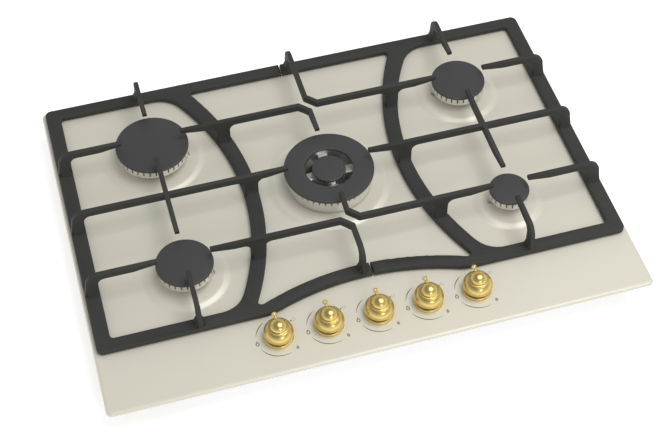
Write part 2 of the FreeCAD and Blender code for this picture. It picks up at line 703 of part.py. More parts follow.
def waist_edge(side):
    """The middle window's side edge: flatter behind the waist than in front of it."""
    low, high = BAND_BOTTOM - 1, BAND_TOP + 1
    front = waist_disc(side, WAIST_R).common(box(-PLATE_W, PLATE_W, -PLATE_D, WAIST_Y, low, high))
    rear = cylinder(side * (WAIST_X + WAIST_FLAT_R), WAIST_Y, low, high, WAIST_FLAT_R)
    return front.fuse(rear.common(box(-PLATE_W, PLATE_W, WAIST_Y, PLATE_D, low, high)))


def waist_middle_x(y):
    """Middle line of the curved band at y, measured from the plate's middle."""
    radius = WAIST_R - FRAME_SIDE_W / 2
    return WAIST_X + WAIST_R - math.sqrt(radius ** 2 - (y - WAIST_Y) ** 2)


def frame_blank():
    """Both frames in one piece: outline with the arch over the knobs, and three windows."""
    low, high = BAND_BOTTOM, BAND_TOP
    blank = box(-FRAME_X, FRAME_X, FRAME_FRONT_Y, FRAME_REAR_Y, low, high)
    blank = blank.makeFillet(FRAME_CORNER_R, upright_edges(blank, lambda x, y: True))
    blank = blank.cut(cylinder(0, ARCH_Y, low - 1, high + 1, ARCH_R))
    blank = blank.makeFillet(ARCH_BLEND_R, upright_edges(
        blank, lambda x, y: abs(y - FRAME_FRONT_Y) < 1e-3 and abs(x) < FRAME_X / 2))
    for side in (-1, 1):
        x0, x1 = sorted((side * (FRAME_X - FRAME_SIDE_W), side * WAIST_X))
        window = box(x0, x1, FRAME_FRONT_Y + FRAME_END_W, FRAME_REAR_Y - FRAME_END_W, low - 1, high + 1)
        window = window.common(waist_disc(side, WAIST_R - FRAME_SIDE_W))
        window = window.makeFillet(WINDOW_CORNER_R, upright_edges(window, lambda x, y: abs(x) > SIDE_X))
        window = window.makeFillet(WAIST_REAR_R, upright_edges(window, lambda x, y: abs(x) < SIDE_X and y > 0))
        window = window.makeFillet(WAIST_FRONT_R, upright_edges(window, lambda x, y: abs(x) < SIDE_X and y < 0))
        blank = blank.cut(window)
    middle = box(-SIDE_X, SIDE_X, FRAME_FRONT_Y, FRAME_REAR_Y - FRAME_END_W, low - 1, high + 1)
    middle = middle.cut([waist_edge(-1), waist_edge(1),
                         cylinder(0, ARCH_Y, low - 2, high + 2, ARCH_R + FRAME_END_W)])
    middle = max(middle.Solids, key=lambda s: s.Volume)
    middle = middle.makeFillet(WINDOW_CORNER_R, upright_edges(middle, lambda x, y: abs(y - WAIST_Y) > 1))
    return blank.cut(middle)


def half_mask(side):
    """The plan area of one support: the two halves part off the middle, to opposite sides."""
    rear = -SPLIT_X + side * SPLIT_GAP / 2
    front = SPLIT_X + side * SPLIT_GAP / 2
    far = side * PLATE_W
    low, high = BAND_BOTTOM - 1, BAND_TOP + 1
    rear_part = box(min(rear, far), max(rear, far), 0, PLATE_D, low, high)
    front_part = box(min(front, far), max(front, far), -PLATE_D, 0, low, high)
    return rear_part.fuse(front_part)


def bar_profile():
    """Cross-section of a bar, in the upright plane, with its top edges rounded."""
    half, r = BAR_W / 2, BAR_EDGE_R
    shape = Outline(-half, BAR_BOTTOM).line(-half, BAR_TOP - r)
    shape.arc(quarter(-half + r, BAR_TOP - r, r, -1, 1), (-half + r, BAR_TOP)).line(half - r, BAR_TOP)
    shape.arc(quarter(half - r, BAR_TOP - r, r, 1, 1), (half, BAR_TOP - r)).line(half, BAR_BOTTOM)
    return shape.face()


def bar(start, end, tips=()):
    """A straight bar between two plan points; tips names its free ends, "start" or "end"."""
    run = Vector(end[0] - start[0], end[1] - start[1], 0)
    solid = bar_profile().extrude(Vector(0, run.Length, 0))
    for tip in tips:
        at, inward = (0, 1) if tip == "start" else (run.Length, -1)
        under = Part.makePolygon([Vector(-BAR_W, at + inward * u, z) for u, z in (
            (-1, BAR_BOTTOM - 1), (TIP_TAPER, BAR_BOTTOM - 1), (TIP_TAPER, BAR_BOTTOM), (0, BAR_TOP - TIP_H),
            (-1, BAR_TOP - TIP_H), (-1, BAR_BOTTOM - 1))])
        solid = solid.cut(Part.Face(under).extrude(Vector(2 * BAR_W, 0, 0)))
    solid.rotate(Vector(0, 0, 0), Vector(0, 0, 1), math.degrees(math.atan2(run.y, run.x)) - 90)
    solid.translate(Vector(start[0], start[1], 0))
    return solid


def knuckle(point):
    """The round corner where two bars meet at an angle."""
    half, r = BAR_W / 2, BAR_EDGE_R
    shape = Outline(0, BAR_BOTTOM).line(0, BAR_TOP).line(half - r, BAR_TOP)
    shape.arc(quarter(half - r, BAR_TOP - r, r, 1, 1), (half, BAR_TOP - r)).line(half, BAR_BOTTOM)
    return turned(shape, *point)


def leg_foot(x0, x1):
    """The flared foot where a leg meets the band."""
    half = LEG_FOOT_W / 2
    shape = Outline(-half, BAND_TOP).lines((half, BAND_TOP), (BAR_W / 2, BAND_TOP + LEG_FOOT_H),
                                           (-BAR_W / 2, BAND_TOP + LEG_FOOT_H))
    solid = shape.face().extrude(Vector(0, x1 - x0, 0))
    solid.rotate(Vector(0, 0, 0), Vector(0, 0, 1), -90)
    solid.translate(Vector(x0, 0, 0))
    return solid


def finger(band_w, length, free):
    """A leg on the outer frame with its bar, along +X from the frame's outer edge; a free end tapers."""
    round_v = BAR_TOP - LEG_ROUND
    foot = BAND_TOP - FRAME_EDGE_R
    shape = Outline(LEG_STEP, foot).line(LEG_STEP, BAND_TOP).line(LEG_LEAN, round_v)
    shape.arc(quarter(LEG_LEAN + LEG_ROUND, round_v, LEG_ROUND, -1, 1), (LEG_LEAN + LEG_ROUND, BAR_TOP))
    tip = [(length, BAR_TOP - TIP_H), (length - TIP_TAPER, BAR_BOTTOM)] if free else [(length, BAR_BOTTOM)]
    shape.lines((length, BAR_TOP), *tip, (band_w + LEG_FILLET, BAR_BOTTOM))
    shape.arc(quarter(band_w + LEG_FILLET, BAR_BOTTOM - LEG_FILLET, LEG_FILLET, -1, 1),
              (band_w, BAR_BOTTOM - LEG_FILLET))
    shape.line(band_w - LEG_STEP, BAND_TOP).line(band_w - LEG_STEP, foot)
    solid = shape.face().extrude(Vector(0, BAR_W, 0))
    solid.translate(Vector(0, -BAR_W / 2, 0))
    outer = []
    for edge in solid.Edges:
        limits = edge.BoundBox
        on_side = abs(abs(edge.CenterOfMass.y) - BAR_W / 2) < 1e-3
        on_top = limits.ZMin > round_v - 1e-3 and limits.ZMax > BAR_TOP - 1e-3 and limits.XMin < length - 1
        on_back = limits.XMax < LEG_LEAN + 1e-3 and limits.ZMax > round_v - 1e-3
        if on_side and (on_top or on_back):
            outer.append(edge)
    solid = solid.makeFillet(BAR_EDGE_R, outer)
    return fused([solid, leg_foot(LEG_LEAN, band_w - FRAME_EDGE_R)])


def placed_finger(x, y, degrees, band_w, length, free=True):
    solid = finger(band_w, length, free)
    solid.rotate(Vector(0, 0, 0), Vector(0, 0, 1), degrees)
    solid.translate(Vector(x, y, 0))
    return solid


def pillar(x, y):
    """The short wall that carries a bar on the curved band."""
    half = FRAME_SIDE_W / 2 - LEG_STEP
    low = BAR_BOTTOM - LEG_FILLET
    foot_z = BAND_TOP - FRAME_EDGE_R
    shape = Outline(-half, foot_z).line(-half, low)
    shape.arc(quarter(-half - LEG_FILLET, low, LEG_FILLET, 1, 1), (-half - LEG_FILLET, BAR_BOTTOM))
    shape.line(-half - LEG_FILLET, BAR_BOTTOM + 1).line(half + LEG_FILLET, BAR_BOTTOM + 1)
    shape.line(half + LEG_FILLET, BAR_BOTTOM)
    shape.arc(quarter(half + LEG_FILLET, low, LEG_FILLET, -1, 1), (half, low)).line(half, foot_z)
    wall = shape.face().extrude(Vector(0, BAR_W, 0))
    wall.translate(Vector(x, y - BAR_W / 2, 0))
    foot = leg_foot(FRAME_EDGE_R - half, half - FRAME_EDGE_R)
    foot.translate(Vector(x, y, 0))
    return fused([wall, foot])


def pan_support(side):
    """One cast support; side is -1 for the left one and 1 for the right one."""
    front, rear = [b for b in BURNERS if b.x * side > 0]
    if front.y > rear.y:
        front, rear = rear, front
    frame = frame_blank().common(half_mask(side))
    frame = frame.makeFillet(FRAME_EDGE_R, level_edges(frame, BAND_TOP))
    inward = 0 if side < 0 else 180
    pieces = [frame]
    for y, length in ((rear.y, FRAME_X - SIDE_X - rear.tip_side), (front.y, FRAME_X - SIDE_X - front.tip_side),
                      (MIDDLE_BAR_Y, FRAME_X - CENTRE_TIP_SIDE)):
        pieces.append(placed_finger(side * FRAME_X, y, inward, FRAME_SIDE_W, length))
    pieces.append(placed_finger(side * SIDE_X, FRAME_REAR_Y, -90, FRAME_END_W,
                                FRAME_REAR_Y - rear.y - rear.tip_rear))
    pieces.append(placed_finger(side * SIDE_X, FRAME_FRONT_Y, 90, FRAME_END_W,
                                front.y - front.tip_front - FRAME_FRONT_Y))
    pieces.append(bar((side * SIDE_X, front.y + front.tip_rear), (side * SIDE_X, rear.y - rear.tip_front),
                      tips=("start", "end")))
    for y in (rear.y, MIDDLE_BAR_Y, front.y):
        pieces.append(pillar(side * waist_middle_x(y), y))
    # The rear and front bars of the right support turn to the back, those of the left one to the front.
    for burner in (rear, front):
        start = (side * (SIDE_X - burner.tip_side), burner.y)
        corner = (side * BEND_LEG, burner.y)
        elbow = (0.0, burner.y + side * BEND_LEG)
        pieces += [bar(start, corner, tips=("start",)), knuckle(corner), bar(corner, elbow), knuckle(elbow)]
        if burner is rear and side > 0:
            pieces.append(placed_finger(0, FRAME_REAR_Y, -90, FRAME_END_W, FRAME_REAR_Y - elbow[1], False))
        elif burner is front and side < 0:
            pieces.append(placed_finger(0, ARCH_RISE_Y, 90, FRAME_END_W, elbow[1] - ARCH_RISE_Y, False))
        else:
            pieces.append(bar(elbow, (0.0, CENTRE_Y - side * CENTRE_TIP_END), tips=("end",)))
    body = fused(pieces)
    return body.cut([cylinder(x, y, BAND_BOTTOM - 1, BAND_BOTTOM + PAD_STEM_H, PAD_STEM_R)
                     for x, y in pad_points(side)])


def pad_points(side):
    x = side * (FRAME_X - FRAME_SIDE_W / 2)
    rear = FRAME_REAR_Y - FRAME_END_W / 2
    front = FRAME_FRONT_Y + FRAME_END_W / 2
    return [(x, rear - 12), (x, front + 12), (x, (rear + front) / 2), (side * WAIST_X / 2, rear),
            (side * waist_middle_x(WAIST_Y), WAIST_Y), (side * WAIST_X * 1.6, front)]


def pads(side):
    made = []
    for x, y in pad_points(side):
        made.append(fused([cylinder(x, y, PLATE_Z, BAND_BOTTOM, PAD_R),
                           cylinder(x, y, BAND_BOTTOM - 1, BAND_BOTTOM + PAD_STEM_H, PAD_STEM_R)]))
    return Part.makeCompound(made)


# --- Knobs and valves -------------------------------------------------------------------------
def bezels():
    made = []
    r = BEZEL_H / 2
    for x in KNOB_X:
        shape = Outline(BEZEL_BORE_R, PLATE_Z).line(BEZEL_R, PLATE_Z).line(BEZEL_R, PLATE_Z + r)
        shape.arc(quarter(BEZEL_R - r, PLATE_Z + r, r, 1, 1), (BEZEL_R - r, PLATE_Z + BEZEL_H))
        shape.line(BEZEL_BORE_R + BEZEL_DISH_W, PLATE_Z + BEZEL_H)
        shape.line(BEZEL_BORE_R, PLATE_Z + BEZEL_H - BEZEL_DISH)
        made.append(turned(shape, x, KNOB_Y))
    return Part.makeCompound(made)


def valve_top():
    return VALVE_BOTTOM + VALVE_BODY_H + BONNET_H


def washer_bottom():
    return valve_top() + SPRING_H


def knob_outline():
    """Half section: boss, dome with a round shoulder, bead, bell, rounded lip and the hollow."""
    low, bell_top, top = PLATE_Z + KNOB_BASE, PLATE_Z + KNOB_BELL_TOP, PLATE_Z + KNOB_TOP
    bead_top = bell_top + KNOB_BEAD_H
    boss_low = low - KNOB_BOSS_DROP
    # The crown of the dome is an arc round crown_z on the axis, tangent to the shoulder.
    wide_z = bead_top + KNOB_DOME_UNDER
    shoulder_u = KNOB_DOME_R - KNOB_SHOULDER_R
    rise = top - KNOB_SHOULDER_R - wide_z
    crown_z = wide_z + (rise ** 2 - shoulder_u ** 2) / (2 * rise)
    crown_r = top - crown_z
    lean = math.atan2(shoulder_u, wide_z - crown_z)
    under_u = shoulder_u + math.sqrt(KNOB_SHOULDER_R ** 2 - KNOB_DOME_UNDER ** 2)
    shape = Outline(0, boss_low).line(0, top)
    shape.arc((crown_r * math.sin(lean / 2), crown_z + crown_r * math.cos(lean / 2)),
              (crown_r * math.sin(lean), crown_z + crown_r * math.cos(lean)))
    shape.arc((KNOB_DOME_R, wide_z), (under_u, bead_top))
    bead_r, bead_u = KNOB_BEAD_H / 2, KNOB_BEAD_R - KNOB_BEAD_H / 2
    shape.line(bead_u, bead_top)
    shape.arc((KNOB_BEAD_R, bell_top + bead_r), (bead_u, bell_top))
    belly_z = low + KNOB_LIP_R
    run_u, run_z = KNOB_BELLY_R - bead_u, bell_top - belly_z
    chord = math.hypot(run_u, run_z)
    shape.arc((bead_u + run_u / 2 + KNOB_BELL_BULGE * run_z / chord,
               belly_z + run_z / 2 + KNOB_BELL_BULGE * run_u / chord), (KNOB_BELLY_R, belly_z))
    lip = KNOB_BELLY_R - KNOB_LIP_R
    shape.arc(quarter(lip, belly_z, KNOB_LIP_R, 1, -1), (lip, low))
    roof = bell_top - KNOB_WALL
    return shape.lines((lip - KNOB_RIM_W, low), (lip - KNOB_RIM_W, belly_z), (KNOB_BEAD_R - KNOB_WALL, roof),
                       (KNOB_BOSS_R, roof), (KNOB_BOSS_R, boss_low))


def pointer_peg(x):
    """The peg that points to the dial: waisted, with a domed end."""
    start = Vector(x, KNOB_Y + PEG_ROOT, PLATE_Z + PEG_Z - PEG_RISE)
    run = Vector(x - PEG_LEAN, KNOB_Y + PEG_REACH, PLATE_Z + PEG_Z) - start
    length = run.Length
    shape = Outline(0, 0).line(PEG_R, 0).arc((PEG_NECK_R, length / 2), (PEG_TIP_R, length))
    end_r = (PEG_TIP_R ** 2 + PEG_DOME ** 2) / (2 * PEG_DOME)
    half = math.asin(PEG_TIP_R / end_r) / 2
    shape.arc((end_r * math.sin(half), length + PEG_DOME - end_r * (1 - math.cos(half))), (0, length + PEG_DOME))
    peg = turned(shape)
    peg.Placement = FreeCAD.Placement(start, FreeCAD.Rotation(Vector(0, 0, 1), run))
    return peg


def knob(x):
    """Bell-shaped knob with a bead, a dome and the pointer peg, hollow round its boss."""
    boss_low = PLATE_Z + KNOB_BASE - KNOB_BOSS_DROP
    socket = cylinder(x, KNOB_Y, boss_low - 1, boss_low + KNOB_SOCKET_H, SPINDLE_R)
    socket = socket.cut(box(x - SPINDLE_R, x + SPINDLE_R, KNOB_Y + SPINDLE_FLAT, KNOB_Y + 2 * SPINDLE_R,
                            boss_low - 2, PLATE_Z + KNOB_TOP))
    return fused([turned(knob_outline(), x, KNOB_Y), pointer_peg(x)]).cut(socket)


def spindle(x):
    """Valve spindle with a flat for the knob and a collar on the thrust washer."""
    top = PLATE_Z + KNOB_BASE - KNOB_BOSS_DROP + KNOB_SOCKET_H - SPINDLE_END_GAP
    low = VALVE_BOTTOM + VALVE_BODY_H - SPINDLE_DEPTH
    collar = washer_bottom() + WASHER_T
    rod = cylinder(x, KNOB_Y, low, top, SPINDLE_R)
    flat = box(x - SPINDLE_R, x + SPINDLE_R, KNOB_Y + SPINDLE_FLAT, KNOB_Y + 2 * SPINDLE_R,
               PLATE_Z + KNOB_PUSH, top + 1)
    return fused([rod.cut(flat), cylinder(x, KNOB_Y, collar, collar + SPINDLE_COLLAR_T, SPINDLE_COLLAR_R)])


def thrust_washer(x):
    low = washer_bottom()
    return tube(x, KNOB_Y, low, low + WASHER_T, WASHER_R, SPINDLE_R + WASHER_FIT)


def return_spring(x):
    """Coil of square wire: a ruled loft through sections on the helix."""
    low = valve_top() + SPRING_WIRE / 2
    rise = SPRING_H - SPRING_WIRE
    count = SPRING_TURNS * SPRING_STEPS
    sections = []
    for i in range(count + 1):
        section = Part.makePlane(SPRING_WIRE, SPRING_WIRE, Vector(-SPRING_WIRE / 2, 0, -SPRING_WIRE / 2),
                                 Vector(0, -1, 0)).OuterWire
        section.translate(Vector(SPRING_R - section.BoundBox.Center.x, 0, -section.BoundBox.Center.z))
        section.rotate(Vector(0, 0, 0), Vector(0, 0, 1), 360.0 * i / SPRING_STEPS)
        section.translate(Vector(x, KNOB_Y, low + rise * i / count))
        sections.append(section)
    return Part.makeLoft(sections, True, True)


def gas_valve(x):
    """Brass tap: body, bonnet, inlet nose on the rail and outlet nose to the feed tube."""
    top = VALVE_BOTTOM + VALVE_BODY_H
    body = cylinder(x, KNOB_Y, VALVE_BOTTOM, top, VALVE_R)
    bonnet = cylinder(x, KNOB_Y, top, top + BONNET_H, BONNET_R)
    nose = Part.makeCylinder(NOSE_R, RAIL_OFFSET, Vector(x, KNOB_Y, RAIL_Z), Vector(0, -1, 0))
    outlet = Part.makeCylinder(NOSE_R, VALVE_R + 5, Vector(x, KNOB_Y, FEED_Z), Vector(0, 1, 0))
    tap = fused([body, bonnet, nose, outlet])
    floor = top - SPINDLE_DEPTH - KNOB_PUSH - SPINDLE_END_GAP
    bore = cylinder(x, KNOB_Y, floor, top + BONNET_H + 1, SPINDLE_R + SPINDLE_FIT)
    rail = Part.makeCylinder(RAIL_R, 60, Vector(x - 30, KNOB_Y - RAIL_OFFSET, RAIL_Z), Vector(1, 0, 0))
    feed = Part.makeCylinder(FEED_R, 8, Vector(x, KNOB_Y + VALVE_R, FEED_Z), Vector(0, 1, 0))
    return tap.cut([bore, rail, feed])


def rail_points():
    y = KNOB_Y - RAIL_OFFSET
    x_in, y_in = inlet_point()
    return [Vector(KNOB_X[0] - RAIL_OVERHANG, y, RAIL_Z), Vector(RAIL_SIDE_X, y, RAIL_Z),
            Vector(RAIL_SIDE_X, y_in - ELBOW_R, RAIL_Z)]


def gas_rail():
    points = rail_points()
    outer = bent_rod(points, RAIL_R, RAIL_BEND_R)
    bore = bent_rod([points[0] + Vector(RAIL_WALL, 0, 0)] + points[1:], RAIL_R - RAIL_WALL, RAIL_BEND_R)
    return outer.cut(bore)


def inlet_elbow():
    """Elbow from the rail's rear end down to the outside thread below the tray's raised corner."""
    x, y = inlet_point()
    joint = POCKET_H + TRAY_T
    block = cylinder(x, y, joint, RAIL_Z + RAIL_R + 2 * ELBOW_WALL, ELBOW_R)
    front = Vector(0, -1, 0)
    socket = Part.makeCylinder(RAIL_R + ELBOW_WALL, ELBOW_R + ELBOW_SOCKET, Vector(x, y, RAIL_Z), front)
    neck = cylinder(x, y, INLET_BOTTOM, joint + 1, INLET_R)
    bore = cylinder(x, y, INLET_BOTTOM - 1, RAIL_Z, INLET_BORE_R)
    rail_end = Part.makeCylinder(RAIL_R, ELBOW_R, Vector(x, y - ELBOW_R, RAIL_Z), front)
    way = Part.makeCylinder(RAIL_R - RAIL_WALL, ELBOW_R + 1, Vector(x, y, RAIL_Z), front)
    return fused([block, socket, neck]).cut(bore).cut(rail_end).cut(way)


def feed_paths():
    """Plan points of the tube from each valve to its burner."""
    start_y = KNOB_Y + VALVE_R
    turn_y = start_y + FEED_START
    paths = []
    for side, x_outer, x_inner in ((-1, KNOB_X[0], KNOB_X[1]), (1, KNOB_X[-1], KNOB_X[-2])):
        bx = side * SIDE_X
        lane = side * (WAIST_X + FEED_LANE)
        paths.append([(x_outer, start_y), (x_outer, turn_y), (bx, FRONT_Y - FEED_END), (bx, FRONT_Y)])
        paths.append([(x_inner, start_y), (x_inner, turn_y), (lane, FRONT_Y), (lane, REAR_Y - FEED_END),
                      (bx - side * FEED_START, REAR_Y), (bx, REAR_Y)])
    middle_x = KNOB_X[KNOB_COUNT // 2]
    paths.append([(middle_x, start_y), (middle_x, CENTRE_Y)])
    return paths


def feed_tubes():
    bosses = [cylinder(b.x, b.y, 0, PLATE_Z, BOSS_R) for b in ALL_BURNERS]
    made = []
    for path in feed_paths():
        points = [Vector(x, y, FEED_Z) for x, y in path]
        made.append(bent_rod(points, FEED_R, FEED_BEND_R).cut(bosses))
    return Part.makeCompound(made)


# --- Electrics --------------------------------------------------------------------------------
def ignition_module():
    x, y = -TRAY_W / 2 + MODULE_INSET_X, TRAY_D / 2 - MODULE_INSET_Y
    case = box(x, x + MODULE_W, y - MODULE_D, y, TRAY_T, TRAY_T + MODULE_H)
    case = case.makeFillet(3, upright_edges(case, lambda u, v: True))
    posts = [cylinder(x + MODULE_W * (i + 0.5) / KNOB_COUNT, y - MODULE_D / 2, TRAY_T + MODULE_H - 1,
                      TRAY_T + MODULE_H + 7, 3.0) for i in range(KNOB_COUNT)]
    return fused([case] + posts)


def cable_gland():
    """Bush for the mains lead, through the tray's rear wall."""
    y = TRAY_D / 2
    back = Vector(0, 1, 0)
    lip = Part.makeCylinder(GLAND_R, GLAND_LIP, Vector(GLAND_X, y, GLAND_Z), back)
    neck = Part.makeCylinder(GLAND_NECK_R, TRAY_T + 2, Vector(GLAND_X, y - TRAY_T - 1, GLAND_Z), back)
    nut = Part.makeCylinder(GLAND_R, GLAND_NUT, Vector(GLAND_X, y - TRAY_T - GLAND_NUT, GLAND_Z), back)
    length = GLAND_LIP + GLAND_NUT + TRAY_T + 2
    bore = Part.makeCylinder(GLAND_BORE_R, length, Vector(GLAND_X, y - TRAY_T - GLAND_NUT - 1, GLAND_Z), back)
    return fused([lip, neck, nut]).cut(bore)


def switch_strip():
    """Strip of microswitches behind the valves, one tongue on each bonnet."""
    y0 = KNOB_Y + VALVE_R + 1
    top = valve_top()
    strip = box(KNOB_X[0] - 16, KNOB_X[-1] + 16, y0, y0 + STRIP_T, top - STRIP_H, top)
    tongues = [box(x - 4, x + 4, KNOB_Y + BONNET_R, y0 + 1, top - BONNET_H, top) for x in KNOB_X]
    return fused([strip] + tongues)


def main():
    os.makedirs("parts", exist_ok=True)
    save("top_panel", top_panel())
    save("bottom_tray", bottom_tray())
    save("tray_screws", tray_screws())
    save("rim_seal", rim_seal())
    for name, side in (("left", -1), ("right", 1)):
        save("pan_support_" + name, pan_support(side))
        save("support_feet_" + name, pads(side))
    for burner in BURNERS:
        save("burner_cup_" + burner.name, cup(burner))
        save("flame_crown_" + burner.name, crown(burner))
        save("burner_cap_" + burner.name, cap(burner))
    save("burner_cup_centre", centre_cup())
    save("flame_crown_centre", centre_crown())
    save("burner_cap_centre", ring_cap())
    save("burner_cap_centre_inner", inner_cap())
    save("burner_screws", burner_screws())
    save("spark_electrodes", electrodes())
    save("thermocouples", thermocouples())
    save("injectors", injectors())
    save("gas_rail", gas_rail())
    save("inlet_elbow", inlet_elbow())
    save("feed_tubes", feed_tubes())
    save("ignition_module", ignition_module())
    save("cable_gland", cable_gland())
    save("switch_strip", switch_strip())
    save("knob_bezels", bezels())
    for number, x in enumerate(KNOB_X, 1):
        save("gas_valve_%d" % number, gas_valve(x))
        save("return_spring_%d" % number, return_spring(x))
        save("thrust_washer_%d" % number, thrust_washer(x))
        save("spindle_%d" % number, spindle(x))
        save("knob_%d" % number, knob(x))


main()
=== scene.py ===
"""Built-in gas hob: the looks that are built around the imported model.

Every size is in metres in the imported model's own frame; profiles are written in millimetres.
"""
import json
import math

import bmesh
import bpy
from bpy.props import FloatProperty, FloatVectorProperty, IntProperty, PointerProperty
from mathutils import Matrix, Vector


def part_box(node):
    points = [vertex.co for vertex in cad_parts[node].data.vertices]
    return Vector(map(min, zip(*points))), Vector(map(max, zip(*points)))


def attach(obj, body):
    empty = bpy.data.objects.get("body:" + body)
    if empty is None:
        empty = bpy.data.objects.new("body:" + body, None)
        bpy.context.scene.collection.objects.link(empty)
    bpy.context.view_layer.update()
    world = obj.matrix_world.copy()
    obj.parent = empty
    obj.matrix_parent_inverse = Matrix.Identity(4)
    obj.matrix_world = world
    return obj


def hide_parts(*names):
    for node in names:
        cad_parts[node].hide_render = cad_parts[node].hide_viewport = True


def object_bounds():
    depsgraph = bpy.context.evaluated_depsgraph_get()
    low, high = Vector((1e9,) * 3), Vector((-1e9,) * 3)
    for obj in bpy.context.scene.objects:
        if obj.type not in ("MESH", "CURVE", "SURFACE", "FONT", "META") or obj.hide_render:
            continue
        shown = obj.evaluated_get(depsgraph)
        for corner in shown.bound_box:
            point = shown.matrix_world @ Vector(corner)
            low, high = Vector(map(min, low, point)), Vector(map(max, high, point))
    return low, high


bl_info = {
    "name": "Gas Hob",
    "version": (1, 0, 0),
    "blender": (4, 5, 0),
    "location": "View3D > Sidebar > Gas Hob",
    "description": "Enamelled plate, cast pan supports, burners and brass knobs of a built-in gas hob",
    "category": "Object",
}

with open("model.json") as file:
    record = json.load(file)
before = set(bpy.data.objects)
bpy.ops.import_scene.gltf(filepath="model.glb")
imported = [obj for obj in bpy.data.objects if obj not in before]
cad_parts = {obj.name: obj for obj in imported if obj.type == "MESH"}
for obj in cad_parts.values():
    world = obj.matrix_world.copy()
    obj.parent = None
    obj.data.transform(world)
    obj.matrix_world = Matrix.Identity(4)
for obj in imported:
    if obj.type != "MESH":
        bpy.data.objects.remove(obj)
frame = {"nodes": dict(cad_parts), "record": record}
CAD_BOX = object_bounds()

MM = 0.001
FULL_TURN = 2 * math.pi
SAME = 0.002 * MM                  # points nearer than this are one point
NEAR = 0.05 * MM                   # tolerance when a ring or a level is picked
FLAT = 0.8                         # faces that turn by fewer degrees than this are merged
PLAIN_EDGE = 40.0                  # an edge that turns by more degrees than this is rounded

RECORD = frame["record"]
SLOT_OF = {part["node"]: part["material_slot"] for part in RECORD["subparts"]}
BODY_OF = {node: body for body, nodes in RECORD["behaviour"]["bodies"].items() for node in nodes}
PLATE_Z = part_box("knob_bezels")[0].z
PLATE_LOW, PLATE_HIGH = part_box("top_panel")
SIDE_BURNERS = ("front_left", "rear_left", "rear_right", "front_right")
KNOBS = (1, 2, 3, 4, 5)


def middle_of(node):
    """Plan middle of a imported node, at height 0."""
    low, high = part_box(node)
    return Vector(((low.x + high.x) / 2, (low.y + high.y) / 2, 0))


def half_width(node):
    """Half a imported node's width, which is the radius of a turned one."""
    low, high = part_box(node)
    return (high.x - low.x) / 2


# --- Sizes and colours that a user would change -------------------------------------------------
class HobSizes(bpy.types.PropertyGroup):
    """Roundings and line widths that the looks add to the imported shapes."""
    plate_edge: FloatProperty(name="Plate edge", description="Rounding of the plate's edge",
                              default=3.0 * MM, unit="LENGTH")
    sheet: FloatProperty(name="Sheet", description="Thickness of the plate's steel",
                         default=1.0 * MM, unit="LENGTH")
    cap_edge: FloatProperty(name="Cap edge", description="Rounding of a burner cap's edge",
                            default=1.3 * MM, unit="LENGTH")
    casting_edge: FloatProperty(name="Casting edge", description="Rounding of the supports' plain edges",
                                default=0.5 * MM, unit="LENGTH")
    slot_depth: FloatProperty(name="Flame slot", description="Height of the flame slots",
                              default=7.5 * MM, unit="LENGTH")
    mark_width: FloatProperty(name="Mark width", description="Width of the printed dial lines",
                              default=1.15 * MM, unit="LENGTH")
    mark_radius: FloatProperty(name="Mark radius", description="Radius of the printed dial ring",
                               default=28.1 * MM, unit="LENGTH")
    round_steps: IntProperty(name="Steps round", description="Faces round a turned piece", default=96)


class HobColours(bpy.types.PropertyGroup):
    """Main colours of the visible finishes."""
    enamel: FloatVectorProperty(name="Enamel", description="Cream enamel of the plate",
                                default=(0.745, 0.710, 0.545), subtype="COLOR")
    iron: FloatVectorProperty(name="Iron", description="Matt enamel of the pan supports",
                              default=(0.058, 0.056, 0.052), subtype="COLOR")
    cap: FloatVectorProperty(name="Cap", description="Matt enamel of the burner caps",
                             default=(0.055, 0.055, 0.053), subtype="COLOR")
    brass: FloatVectorProperty(name="Brass", description="Gold plating of the knobs",
                               default=(0.205, 0.172, 0.052), subtype="COLOR")
    aluminium: FloatVectorProperty(name="Aluminium", description="Machined flame crowns",
                                   default=(0.66, 0.66, 0.665), subtype="COLOR")
    ink: FloatVectorProperty(name="Ink", description="Printed dial lines",
                             default=(0.120, 0.085, 0.050), subtype="COLOR")
    pale_ink: FloatVectorProperty(name="Pale ink", description="Printed dial symbols",
                                  default=(0.200, 0.185, 0.145), subtype="COLOR")


class HobStage(bpy.types.PropertyGroup):
    """Light and background."""
    sky: FloatProperty(name="Sky", description="Strength of the even light from all round", default=0.56)
    key: FloatProperty(name="Key lamp", description="Power of the large lamp above", default=48.0)
    front: FloatProperty(name="Front lamp", description="Power of the lamp in front", default=7.0)
    floor: FloatVectorProperty(name="Floor", description="Colour of the floor",
                               default=(0.80, 0.80, 0.79), subtype="COLOR")


# --- Mesh helpers -------------------------------------------------------------------------------
def turned(bm, profile, centre, steps, closed=True):
    """Spins a profile of (radius, height above the plate) in mm round the upright axis at centre."""
    verts = [bm.verts.new((centre.x + r * MM, centre.y, PLATE_Z + z * MM)) for r, z in profile]
    pairs = list(zip(verts, verts[1:]))
    if closed:
        pairs.append((verts[-1], verts[0]))
    edges = [bm.edges.new(pair) for pair in pairs if pair[0].co != pair[1].co]
    bmesh.ops.spin(bm, geom=verts + edges, cent=centre, axis=(0, 0, 1), angle=FULL_TURN,
                   steps=steps, use_merge=True)


def tidy(bm):
    """Closes seams and poles and points the faces outwards."""
    bmesh.ops.remove_doubles(bm, verts=bm.verts, dist=SAME)
    bmesh.ops.dissolve_degenerate(bm, dist=SAME, edges=bm.edges)
    bmesh.ops.recalc_face_normals(bm, faces=bm.faces)


def soften(bm, edges, width, segments=1):
    """Rounds the edges."""
    bmesh.ops.bevel(bm, geom=edges, offset=width, offset_type="OFFSET", segments=segments, profile=0.5,
                    affect="EDGES", clamp_overlap=True, material=-1)


def sharp_edges(bm, degrees):
    """The edges whose two faces turn by more than that."""
    limit = math.radians(degrees)
    return [e for e in bm.edges if e.is_manifold and e.calc_face_angle(0.0) > limit]


